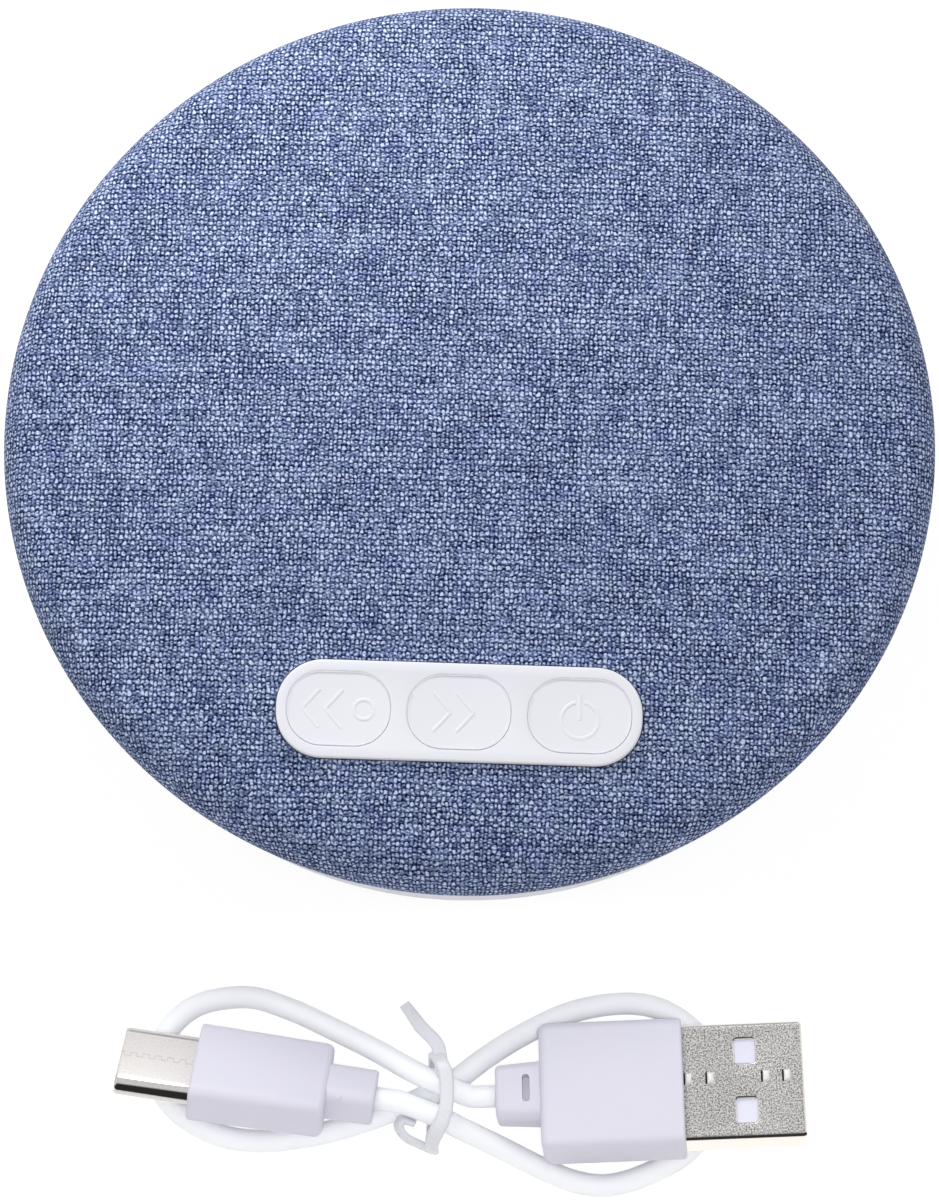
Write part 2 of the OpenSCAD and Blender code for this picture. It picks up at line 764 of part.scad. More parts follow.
module dust_cap() {
    cap_r = (dust_r * dust_r + dust_rise * dust_rise) / (2 * dust_rise);
    slope = (neck_d - cone_rim_d) / (cone_r - former_r - glue_gap);
    seat_d = neck_d - cone_t - slope * (dust_r - former_r - glue_gap) - dust_t - glue_gap;
    color("black") at_driver(seat_d) rotate_extrude() intersection() {
        translate([0, dust_rise - cap_r]) difference() {
            circle(cap_r, $fn = 360);
            circle(cap_r - dust_t, $fn = 360);
        }
        translate([0, -dust_t]) square([dust_r, far]);
    }
}

module driver_surround() {
    color("black") at_driver(cone_rim_d - cone_t - glue_gap) rotate_extrude() {
        intersection() {
            translate([roll_c, 0]) difference() {
                circle(roll_r);
                circle(roll_r - roll_t);
            }
            square([far, far]);
        }
        translate([cone_r - 0.8, 0]) square([0.8 + roll_t, roll_t]);
        translate([ledge_r + glue_gap, cone_rim_d - cone_t - glue_gap - ledge_d + glue_gap])
            square([rim_in_r - ledge_r - 2 * glue_gap, roll_t + 0.1]);
    }
}

module driver_spider() {
    wave_h = 0.5;
    sheet = 0.25;
    in_r = former_r + glue_gap;
    waves = 4;
    span = step_r + 0.1 - in_r;
    steps = 32;
    color("goldenrod") at_driver(step_d - glue_gap) rotate_extrude() {
        polygon(concat(
            [for (i = [0 : steps])
                [in_r + span * i / steps, wave_h / 2 * (1 - cos(360 * waves * i / steps))]],
            [for (i = [steps : -1 : 0])
                [in_r + span * i / steps, sheet + wave_h / 2 * (1 - cos(360 * waves * i / steps))]]));
        translate([step_r, 0]) square([ledge_r - step_r - glue_gap, sheet]);
    }
}

module driver_terminals() {
    color("tan") translate([-terminal_w / 2, driver_y + basket_r + glue_gap, terminal_z - terminal_h / 2])
        cube([terminal_w, terminal_t, terminal_h]);
}

module driver_screws() {
    color("silver") at_driver(flange_t) driver_screw_places() {
        cylinder(r = driver_screw_r, h = driver_screw_l);
        translate([0, 0, -0.8]) cylinder(r = 1.3, h = 0.8);
    }
}

module driver_lead(side) {
    from = [side * terminal_x, terminal_y, terminal_z];
    to = [speaker_plug_at[0] + side * driver_wire_x, speaker_plug_at[1], board_z + board_t + plug_h];
    out = from + [0, wire_stub, 0];
    into = to + [0, 0, wire_stub];
    down = [(into[0] - out[0]) / 3, 0, (into[2] - out[2]) / 3];
    tube(smooth([from, out, out + down, out + 2 * down, into, to], 5), wire_r, 6, [1, 0, 0]);
}

// Battery and main board

module main_board() {
    color("seagreen") translate([0, 0, board_z]) difference() {
        linear_extrude(board_t) difference() {
            union() {
                translate([-board_w / 2, board_front_y]) square([board_w, board_back_y - board_front_y]);
                translate([-tab_w / 2, board_back_y - 1]) square([tab_w, tab_y - board_back_y + 1]);
            }
            translate([-socket_w / 2 - glue_gap, socket_back_y - glue_gap])
                square([socket_w + 2 * glue_gap, far]);
        }
        for (p = board_screw_at) translate([p[0], p[1], -eps])
            cylinder(r = small_screw_r + fit_gap, h = board_t + 2 * eps);
    }
}

module main_board_screws() {
    color("silver") for (p = board_screw_at)
        translate([p[0], p[1], board_z + board_t]) rotate([180, 0, 0])
            small_screw(board_t + board_screw_bite);
}

module chip(at, size) {
    translate([at[0] - size[0] / 2, at[1] - size[1] / 2, board_z + board_t]) cube(size);
}

module audio_chip() {
    color("black") chip([audio_chip_x, board_back_y - chip_off], audio_chip_size);
}

module amplifier_chip() {
    color("black") chip([amplifier_x, board_back_y - chip_off], amplifier_size);
}

module charge_coil() {
    color("gray") chip([charge_coil_x, board_back_y - chip_off], charge_coil_size);
}

module board_plugs() {
    color("ivory") for (at = [battery_plug_at, speaker_plug_at]) chip(at, [plug_w, plug_l, plug_h]);
}

module socket_outline(inset) {
    rounded_rect(socket_w - 2 * inset, socket_h - 2 * inset, socket_h / 2 - inset - eps);
}

module usb_socket() {
    color("silver") translate([0, socket_back_y, usb_z]) rotate([-90, 0, 0]) difference() {
        linear_extrude(socket_l) socket_outline(0);
        translate([0, 0, socket_wall]) linear_extrude(socket_l) socket_outline(sheet_t);
    }
}

module usb_socket_tongue() {
    color("black") translate([-tongue_w / 2, socket_back_y + socket_wall, usb_z - tongue_t / 2])
        cube([tongue_w, tongue_l, tongue_t]);
}

module battery_tape() {
    color("white") translate([cell_x - cell_w / 2 + tape_margin, -cell_l / 2 + tape_margin, floor_z])
        cube([cell_w - 2 * tape_margin, cell_l - 2 * tape_margin, tape_t]);
}

module battery_cell() {
    color("lightgray") translate([cell_x, 0, floor_z + tape_t + cell_t / 2]) rotate([90, 0, 0])
        linear_extrude(cell_l, center = true) rounded_rect(cell_w, cell_t, cell_edge_r);
}

module battery_lead(side) {
    cell_z = floor_z + tape_t + cell_t / 2;
    from = [cell_x + cell_lead_inset + side * battery_wire_x, cell_l / 2, cell_z];
    to = [battery_plug_at[0] + side * battery_wire_x, battery_plug_at[1] - plug_l / 2, wire_top_z];
    out = from + [0, wire_stub + (1 - side) * battery_wire_x, 0];
    into = to - [0, wire_stub + (1 + side) * battery_wire_x, 0];
    over = [0, 0, wire_lift];
    tube(smooth([from, out, out + (into - out) / 3 + over, out + (into - out) * 2 / 3 + over, into, to], 5),
        wire_r, 6, [0, 0, 1]);
}

// Charging lead

module lead_cord() {
    color("white") tube(smooth(lead_route, 2), cord_r, 8, [0, 0, 1]);
}

module lead_tie() {
    color("white") tube(tie_route, tie_r, 6, [1, 0, 0]);
}

module grip(w, t, l, edge_r) {
    translate([l / 2, 0, 0]) intersection() {
        along_plug(-l / 2, l) rounded_rect(w, t, edge_r);
        translate([0, 0, -t]) linear_extrude(2 * t) rounded_rect(l, w, 1.5);
    }
}

module usb_a_grip() {
    color("whitesmoke") at_plug(usb_a_at, usb_a_turn) {
        translate([relief_a_l, 0, 0]) grip(grip_a_w, grip_a_t, grip_a_l, 2);
        difference() {
            along_plug(0, relief_a_l + 1) rounded_rect(5.4, 4.8, 1.4);
            for (z = [-1, 1]) translate([relief_a_l - 1.2, 0, z * 2.4]) cube([0.8, 3, 1.6], center = true);
        }
    }
}

module usb_a_shell() {
    hole_x = relief_a_l + grip_a_l + shell_a_hole_off;
    color("silver") at_plug(usb_a_at, usb_a_turn) difference() {
        along_plug(relief_a_l + grip_a_l, shell_a_l) rounded_rect(shell_a_w, shell_a_t, 0.6);
        along_plug(relief_a_l + grip_a_l - eps, shell_a_l + 1)
            rounded_rect(shell_a_w - 2 * sheet_t, shell_a_t - 2 * sheet_t, 0.3);
        for (y = [-shell_a_hole_y, shell_a_hole_y]) translate([hole_x, y, 0])
            cube([shell_a_hole_l, shell_a_hole_w, 2 * shell_a_t], center = true);
    }
}

module usb_a_insulator() {
    core_w = shell_a_w - 2 * sheet_t - 2 * fit_gap;
    core_t = 1.84;
    color("white") at_plug(usb_a_at, usb_a_turn)
        translate([relief_a_l + grip_a_l, -core_w / 2, shell_a_t / 2 - sheet_t - glue_gap - core_t])
            cube([shell_a_l - 0.6, core_w, core_t]);
}

module usb_a_contacts() {
    core_low = shell_a_t / 2 - sheet_t - glue_gap - 1.84;
    color("gold") at_plug(usb_a_at, usb_a_turn) for (y = [-3.5, -1, 1, 3.5])
        translate([relief_a_l + grip_a_l, y - 0.5, core_low - 0.2]) cube([shell_a_l - 1.8, 1, 0.2]);
}

module usb_c_grip() {
    color("whitesmoke") at_plug(usb_c_at, usb_c_turn) {
        translate([relief_c_l, 0, 0]) grip(grip_c_w, grip_c_t, grip_c_l, 2);
        along_plug(0, relief_c_l + 1) rounded_rect(5, 4.3, 1.5);
        translate([relief_c_l - 1.2, 1.9, 1.5]) sphere(r = 0.5, $fn = 32);
    }
}

module usb_c_outline(inset) {
    rounded_rect(shell_c_w - 2 * inset, shell_c_t - 2 * inset, shell_c_t / 2 - inset - eps);
}

module usb_c_shell() {
    color("silver") at_plug(usb_c_at, usb_c_turn) difference() {
        along_plug(relief_c_l + grip_c_l, shell_c_l) usb_c_outline(0);
        along_plug(relief_c_l + grip_c_l - eps, shell_c_l + 1) usb_c_outline(sheet_t);
    }
}

module usb_c_insert() {
    color("black") at_plug(usb_c_at, usb_c_turn) difference() {
        along_plug(relief_c_l + grip_c_l, shell_c_l - 0.4) usb_c_outline(sheet_t + glue_gap);
        along_plug(relief_c_l + grip_c_l + insert_back, shell_c_l)
            square([insert_slot_w, insert_slot_h], center = true);
    }
}

for (i = [0 : 3]) {
    foot(i);
    case_screw(i);
}
base_shell();
top_shell();
fabric_cover();
control_panel();
back_button();
next_button();
power_button();
plunger(button_x[0]);  // back_plunger
plunger(button_x[1]);  // next_plunger
plunger(button_x[2]);  // power_plunger
key_switch(button_x[0]);  // back_switch
key_switch(button_x[1]);  // next_switch
key_switch(button_x[2]);  // power_switch
switch_board();
switch_board_screws();
driver_gasket();
driver_basket();
driver_yoke();
driver_magnet();
driver_pole_plate();
voice_coil();
driver_cone();
dust_cap();
driver_surround();
driver_spider();
driver_terminals();
driver_screws();
color("firebrick") driver_lead(-1);  // driver_lead_red
color("black") driver_lead(1);  // driver_lead_black
main_board();
main_board_screws();
audio_chip();
amplifier_chip();
charge_coil();
board_plugs();
usb_socket();
usb_socket_tongue();
battery_cell();
battery_tape();
color("firebrick") battery_lead(-1);  // battery_lead_red
color("black") battery_lead(1);  // battery_lead_black
lead_cord();
lead_tie();
usb_a_grip();
usb_a_shell();
usb_a_insulator();
usb_a_contacts();
usb_c_grip();
usb_c_shell();
usb_c_insert();
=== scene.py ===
import math

import bmesh
import bpy
from mathutils import Matrix, Vector
from mathutils.geometry import delaunay_2d_cdt


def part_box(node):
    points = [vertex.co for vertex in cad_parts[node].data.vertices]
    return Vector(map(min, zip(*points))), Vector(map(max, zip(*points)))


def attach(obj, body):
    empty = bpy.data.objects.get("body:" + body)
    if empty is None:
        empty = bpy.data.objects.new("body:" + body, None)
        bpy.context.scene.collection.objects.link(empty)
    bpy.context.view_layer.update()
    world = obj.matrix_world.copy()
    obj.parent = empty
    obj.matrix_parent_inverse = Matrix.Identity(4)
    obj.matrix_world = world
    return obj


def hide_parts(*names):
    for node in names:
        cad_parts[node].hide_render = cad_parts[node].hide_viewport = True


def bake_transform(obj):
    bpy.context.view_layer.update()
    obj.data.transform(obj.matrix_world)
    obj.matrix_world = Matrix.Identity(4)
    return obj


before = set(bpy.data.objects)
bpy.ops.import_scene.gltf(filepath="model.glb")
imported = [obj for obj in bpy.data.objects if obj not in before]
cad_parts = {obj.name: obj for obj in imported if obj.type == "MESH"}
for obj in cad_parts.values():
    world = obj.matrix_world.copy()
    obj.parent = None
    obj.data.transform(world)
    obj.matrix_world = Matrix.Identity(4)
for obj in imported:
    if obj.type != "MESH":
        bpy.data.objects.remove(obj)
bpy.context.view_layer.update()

MM = 0.001
scene = bpy.context.scene

# Sizes of the part, in millimetres, as in its source
BODY_R, BODY_H, DOME_R, SHOULDER_R = 47.85, 21.5, 600.0, 4.0
FABRIC_T, SEAM_DROP = 0.7, 2.4
PANEL_W, PANEL_H, PANEL_R, PANEL_OFF, PANEL_PROUD = 36.5, 10.0, 4.7, 30.4, 0.3
SEAT_Z, PANEL_BACK_Z, PANEL_LIP = -3.3, -4.3, 1.2
BUTTON_W, BUTTON_H, BUTTON_R, BUTTON_PITCH, SLIT = 10.3, 7.5, 3.5, 12.0, 0.1
FIT_GAP = 0.04
CORD_D, TIE_W, TIE_T = 2.3, 1.4, 0.65
USB_A_AT, USB_A_TURN = (4.9, -66.1, 5.0), (-7.0, -3.9, 3.6)
USB_C_AT, USB_C_TURN = (-7.3, -66.7, 5.0), (33.0, -1.5, 173.6)
SHELL_A_X, SHELL_A_END, SHELL_A_W, SHELL_A_T = 18.9, 30.9, 12.0, 4.5
SHELL_C_X, SHELL_C_END, SHELL_C_W, SHELL_C_T = 18.5, 26.0, 8.25, 2.4

SHOULDER_C = BODY_R - SHOULDER_R
DOME_Z = BODY_H - DOME_R
SHOULDER_Z = DOME_Z + math.sqrt((DOME_R - SHOULDER_R) ** 2 - SHOULDER_C ** 2)
SEAM_Z = SHOULDER_Z - SEAM_DROP
PANEL_TILT = math.asin(PANEL_OFF / DOME_R)

# Steps round the corners of outlines
PANEL_CORNER, BUTTON_CORNER, PLUG_CORNER, HOLE_CORNER = 14, 12, 8, 6


# Camera, at the photograph's place

CAMERA_AT = Vector((5.06, -124.22, 385.83))
CAMERA_ELEVATION, CAMERA_AZIMUTH, CAMERA_ROLL = 73.8674, 2.3985, -0.5162
FOCAL_PX, FRAME_H = 3789.62, 1200


def make_camera():
    e, a, roll = (math.radians(x) for x in (CAMERA_ELEVATION, CAMERA_AZIMUTH, CAMERA_ROLL))
    back = Vector((math.sin(a) * math.cos(e), -math.cos(a) * math.cos(e), math.sin(e)))
    right = Vector((math.cos(a), math.sin(a), 0))
    up = back.cross(right)
    right_now = math.cos(roll) * right + math.sin(roll) * up
    up_now = -math.sin(roll) * right + math.cos(roll) * up
    data = bpy.data.cameras.new("camera")
    data.sensor_width = 36
    data.lens = data.sensor_width * FOCAL_PX / FRAME_H
    data.clip_start, data.clip_end = 0.01, 20
    camera = bpy.data.objects.new("camera", data)
    scene.collection.objects.link(camera)
    turn = Matrix((right_now, up_now, back)).transposed().to_4x4()
    camera.matrix_world = Matrix.Translation(CAMERA_AT * MM) @ turn
    scene.camera = camera


make_camera()


# Meshes

def mesh_object(name, points, faces, sharp=None):
    mesh = bpy.data.meshes.new(name)
    mesh.from_pydata([Vector(p) * MM for p in points], [], faces)
    mesh.validate()
    mesh.update()
    mesh.shade_smooth()
    if sharp is not None:
        mesh.set_sharp_from_angle(angle=math.radians(sharp))
    made = bpy.data.objects.new(name, mesh)
    scene.collection.objects.link(made)
    return made


def outline(w, h, r, steps):
    """Points round a rounded rectangle, anticlockwise from the right side's lower end."""
    points = []
    for cx, cy, start in ((1, -1, -90), (1, 1, 0), (-1, 1, 90), (-1, -1, 180)):
        for k in range(steps + 1):
            a = math.radians(start + 90 * k / steps)
            points.append((cx * (w / 2 - r) + r * math.cos(a), cy * (h / 2 - r) + r * math.sin(a)))
    return points


def inset_outline(w, h, r, inset, steps):
    return outline(w - 2 * inset, h - 2 * inset, max(r - inset, 0.02), steps)


def bridge(faces, first, second, n, flip=False):
    """Quads between two closed rings of n points that start at these indices."""
    for k in range(n):
        a, b = first + k, first + (k + 1) % n
        c, d = second + (k + 1) % n, second + k
        faces.append((d, c, b, a) if flip else (a, b, c, d))


def loft(rings, caps=True):
    """Points and faces of a closed form through rings of equally many points."""
    n = len(rings[0])
    points = [p for ring in rings for p in ring]
    faces = []
    for i in range(len(rings) - 1):
        bridge(faces, i * n, (i + 1) * n, n)
    if caps:
        faces.append(tuple(reversed(range(n))))
        faces.append(tuple(range((len(rings) - 1) * n, len(rings) * n)))
    return points, faces


def add_form(points, faces, form):
    """Adds a form's points and faces to those of a larger mesh."""
    first = len(points)
    form_points, form_faces = form
    points += form_points
    faces += [tuple(first + i for i in f) for f in form_faces]


def moved(points, matrix):
    return [matrix @ Vector(p) for p in points]


def turn_matrix(place, turn):
    x, y, z = (math.radians(t) for t in turn)
    return (Matrix.Translation(place) @ Matrix.Rotation(z, 4, "Z") @ Matrix.Rotation(y, 4, "Y")
            @ Matrix.Rotation(x, 4, "X"))


AT_A = turn_matrix(USB_A_AT, USB_A_TURN)
AT_C = turn_matrix(USB_C_AT, USB_C_TURN)
AT_PANEL = (Matrix.Translation((0, 0, DOME_Z)) @ Matrix.Rotation(PANEL_TILT, 4, "X")
            @ Matrix.Translation((0, 0, DOME_R)))


# Cord and tie: the route's points are the source's

LEAD_POINTS = [
    (-1.5, -68.1, 4.9), (1.5, -69.4, 4.2), (5.5, -70.9, 2.3), (9.5, -72.6, 1.25), (13, -73.9, 1.25),
    (16.5, -74.2, 1.25), (20.5, -72.9, 1.25), (24.5, -70.4, 1.25), (27, -66.6, 1.25), (27.2, -62.1, 1.25),
    (25, -58.4, 1.25), (21.5, -56.1, 1.25), (17.5, -55.6, 1.25), (12.5, -56.6, 1.25), (8, -58.8, 1.25),
    (4, -61.5, 1.8), (0.5, -64.4, 2.5), (-2, -65.8, 2.4), (-5.5, -67.4, 1.7), (-10, -69.1, 1.25),
    (-14.5, -70.3, 1.25), (-19.5, -70.9, 1.25), (-24, -70.1, 1.25), (-28, -67.6, 1.25), (-30, -63.9, 1.25),
    (-29, -60.1, 1.25), (-26, -57.2, 1.25), (-21, -56.2, 1.25), (-16.5, -57.3, 1.25), (-12, -59.3, 1.9),
    (-7.5, -61.6, 3.4), (-3.5, -63.9, 4.9), (-0.5, -65.2, 5.3)]
TIE_TAIL = [(-4.7, -57.1, 5), (-3, -59.4, 5.8), (-1.2, -61.4, 6.7)]
TIE_HOOK = [(-2.6, -71, 3), (-4.2, -70.3, 3.5), (-4.9, -69.2, 3.9), (-4.2, -68.6, 4.1), (-3.2, -69, 4.1)]
TIE_MIDDLE, TIE_HALF_Y, TIE_HALF_Z = (-0.2, -66.6, 4.2), 4.0, 3.3
TIE_SQUARE, TIE_START, TIE_TURN, TIE_BOW, TIE_LEAN = 3, 55, 500, 1.4, 0.9
TIE_EDGE, TIE_END = 0.45, 0.8


def spline_point(a, b, c, d, t):
    return 0.5 * (2 * b + (c - a) * t + (2 * a - 5 * b + 4 * c - d) * t ** 2
                  + (3 * b - a - 3 * c + d) * t ** 3)


def smooth_route(points, steps):
    """A curve through the points, straight in its first and last stretch."""
    p = [Vector(q) for q in points]
    route = [p[0]]
    for i in range(1, len(p) - 2):
        route += [spline_point(p[i - 1], p[i], p[i + 1], p[i + 2], s / steps) for s in range(steps)]
    return route + [p[-2], p[-1]]


def leave(turn):
    """The way a cord leaves a plug that is turned so."""
    y, z = math.radians(turn[1]), math.radians(turn[2])
    return Vector((-math.cos(z) * math.cos(y), -math.sin(z) * math.cos(y), math.sin(y)))


def signed_power(v, n):
    return math.copysign(abs(v) ** n, v)


def curve_object(name, route, diameter, sides=8):
    data = bpy.data.curves.new(name, "CURVE")
    data.dimensions = "3D"
    data.bevel_depth = diameter / 2 * MM
    data.bevel_resolution = sides
    data.use_fill_caps = True
    line = data.splines.new("POLY")
    line.points.add(len(route) - 1)
    for point, at in zip(line.points, route):
        point.co = (*(Vector(at) * MM), 1)
    line.use_smooth = True
    made = bpy.data.objects.new(name, data)
    scene.collection.objects.link(made)
    return made


lead_route = [Vector(USB_C_AT), Vector(USB_C_AT) + CORD_D * leave(USB_C_TURN), *LEAD_POINTS,
              Vector(USB_A_AT) + CORD_D * leave(USB_A_TURN), Vector(USB_A_AT)]
lead = curve_object("lead_cord_skin", smooth_route(lead_route, 10), CORD_D)


def tie_point(a):
    """A place on the tie's turns: a rounded square that grows outwards and bows where it is on top."""
    c, s = math.cos(math.radians(a)), math.sin(math.radians(a))
    grown = TIE_T * (a - TIE_START) / 360
    return Vector(TIE_MIDDLE) + Vector((
        TIE_BOW * (max(s, 0) ** 3 - TIE_LEAN),
        (TIE_HALF_Y + grown) * signed_power(c, 2 / TIE_SQUARE),
        (TIE_HALF_Z + grown) * signed_power(s, 2 / TIE_SQUARE)))


def ribbon_object(name, route, width, thick):
    """A flat strip along a route, turned no more than the route turns it."""
    route = [Vector(p) for p in route]
    section = outline(width, thick, TIE_EDGE * thick, 4)
    rings = []
    side = None
    for i, p in enumerate(route):
        ahead = (route[min(i + 1, len(route) - 1)] - route[max(i - 1, 0)]).normalized()
        side = ahead.cross(Vector((0, 0, 1))) if side is None else side - side.dot(ahead) * ahead
        side.normalize()
        up = side.cross(ahead)
        end = TIE_END if i in (0, len(route) - 1) else 1.0
        rings.append([p + side * (x * end) + up * (y * end) for x, y in section])
    points, faces = loft(rings)
    return mesh_object(name, points, faces, sharp=60)


tie_route = TIE_TAIL + [tie_point(a) for a in range(TIE_START, TIE_START + TIE_TURN + 1, 20)] + TIE_HOOK
tie = ribbon_object("lead_tie_skin", smooth_route(tie_route, 5), TIE_W, TIE_T)


# Materials

class Graph:
    """The nodes of a material or world, written as calls that take and give sockets."""

    def __init__(self, owner):
        owner.use_nodes = True
        self.owner, self.tree = owner, owner.node_tree
        self.shader = self.tree.nodes.get("Principled BSDF")

    def node(self, kind, *values, **settings):
        """A new node with these settings, and these values or links in its first inputs."""
        made = self.tree.nodes.new("ShaderNode" + kind)
        for key, value in settings.items():
            setattr(made, key, value)
        for socket, value in zip(made.inputs, values):
            self.put(socket, value)
        return made

    def put(self, socket, value):
        if isinstance(value, bpy.types.NodeSocket):
            self.tree.links.new(value, socket)
        elif value is not None:
            socket.default_value = value

    def math(self, operation, a, b=None, c=None, clamp=False):
        return self.node("Math", a, b, c, operation=operation, use_clamp=clamp).outputs[0]

    def centred(self, value):
        return self.math("SUBTRACT", value, 0.5)

    def ramp(self, value, low, high, to_low=0.0, to_high=1.0):
        made = self.node("MapRange", value, low, high, to_low, to_high, interpolation_type="SMOOTHSTEP")
        return made.outputs[0]

    def colours(self, value, stops):
        made = self.node("ValToRGB", value)
        elements = made.color_ramp.elements
        while len(elements) < len(stops):
            elements.new(0.5)
        for element, (place, colour) in zip(elements, stops):
            element.position, element.color = place, (*colour, 1)
        return made.outputs[0]

    def mix(self, share, a, b, blend="MIX"):
        made = self.node("Mix", data_type="RGBA", blend_type=blend)
        for socket, value in zip((made.inputs[0], made.inputs[6], made.inputs[7]), (share, a, b)):
            self.put(socket, (*value, 1) if isinstance(value, tuple) and len(value) == 3 else value)
        return made.outputs[2]

    def place(self):
        """A piece's own coordinates, in millimetres."""
        made = self.node("Mapping", self.node("TexCoord").outputs["Object"])
        made.inputs["Scale"].default_value = (1 / MM,) * 3
        return made.outputs[0]

    def attribute(self, name):
        return self.node("Attribute", attribute_name=name).outputs["Vector"]

    def shifted(self, vector, by):
        return self.node("Mapping", vector, by).outputs[0]

    def blend(self, share, a, b):
        made = self.node("Mix", data_type="FLOAT")
        for socket, value in zip((made.inputs[0], made.inputs[2], made.inputs[3]), (share, a, b)):
            self.put(socket, value)
        return made.outputs[0]

    def noise(self, vector, scale, detail=2.0, rough=0.5):
        made = self.node("TexNoise")
        self.put(made.inputs["Vector"], vector)
        made.inputs["Scale"].default_value = scale
        made.inputs["Detail"].default_value = detail
        made.inputs["Roughness"].default_value = rough
        return made.outputs[0]

    def combine(self, x, y, z):
        return self.node("CombineXYZ", x, y, z).outputs[0]

    def split(self, vector):
        return self.node("SeparateXYZ", vector).outputs

    def random(self, vector):
        return self.node("TexWhiteNoise", vector, noise_dimensions="3D").outputs["Value"]

    def bump(self, height, strength, distance_mm):
        made = self.node("Bump")
        made.inputs["Strength"].default_value = strength
        made.inputs["Distance"].default_value = distance_mm * MM
        self.put(made.inputs["Height"], height)
        self.put(self.shader.inputs["Normal"], made.outputs[0])

    def set(self, **values):
        for key, value in values.items():
            self.put(self.shader.inputs[key.replace("_", " ")], value)
        return self.owner


def material_graph(name):
    return Graph(bpy.data.materials.new(name))


def shade(*rgb):
    """An sRGB colour of 0 to 255 as linear values."""
    return tuple(x / 255 / 12.92 if x <= 10 else ((x / 255 + 0.055) / 1.055) ** 2.4 for x in rgb)


BEAD_PITCH, ROW_PITCH = 0.87, 0.579
WEAVE_BASE, WEAVE_BEAD, WEAVE_ARC_SHADOW, WEAVE_CROSS, WEAVE_SLUB = 0.42, 0.44, 0.85, 0.26, 0.16
WEAVE_RIPPLE, RIPPLE_LEAD = 0.22, -2.64
WEAVE_TONE, WEAVE_FIBRE = 0.85, 0.95
SWAY, SHAKE, DRIFT, BEND = 0.9, 0.16, 1.1, 0.4
UNEVEN_ACROSS, UNEVEN_ALONG = 0.12, 0.24


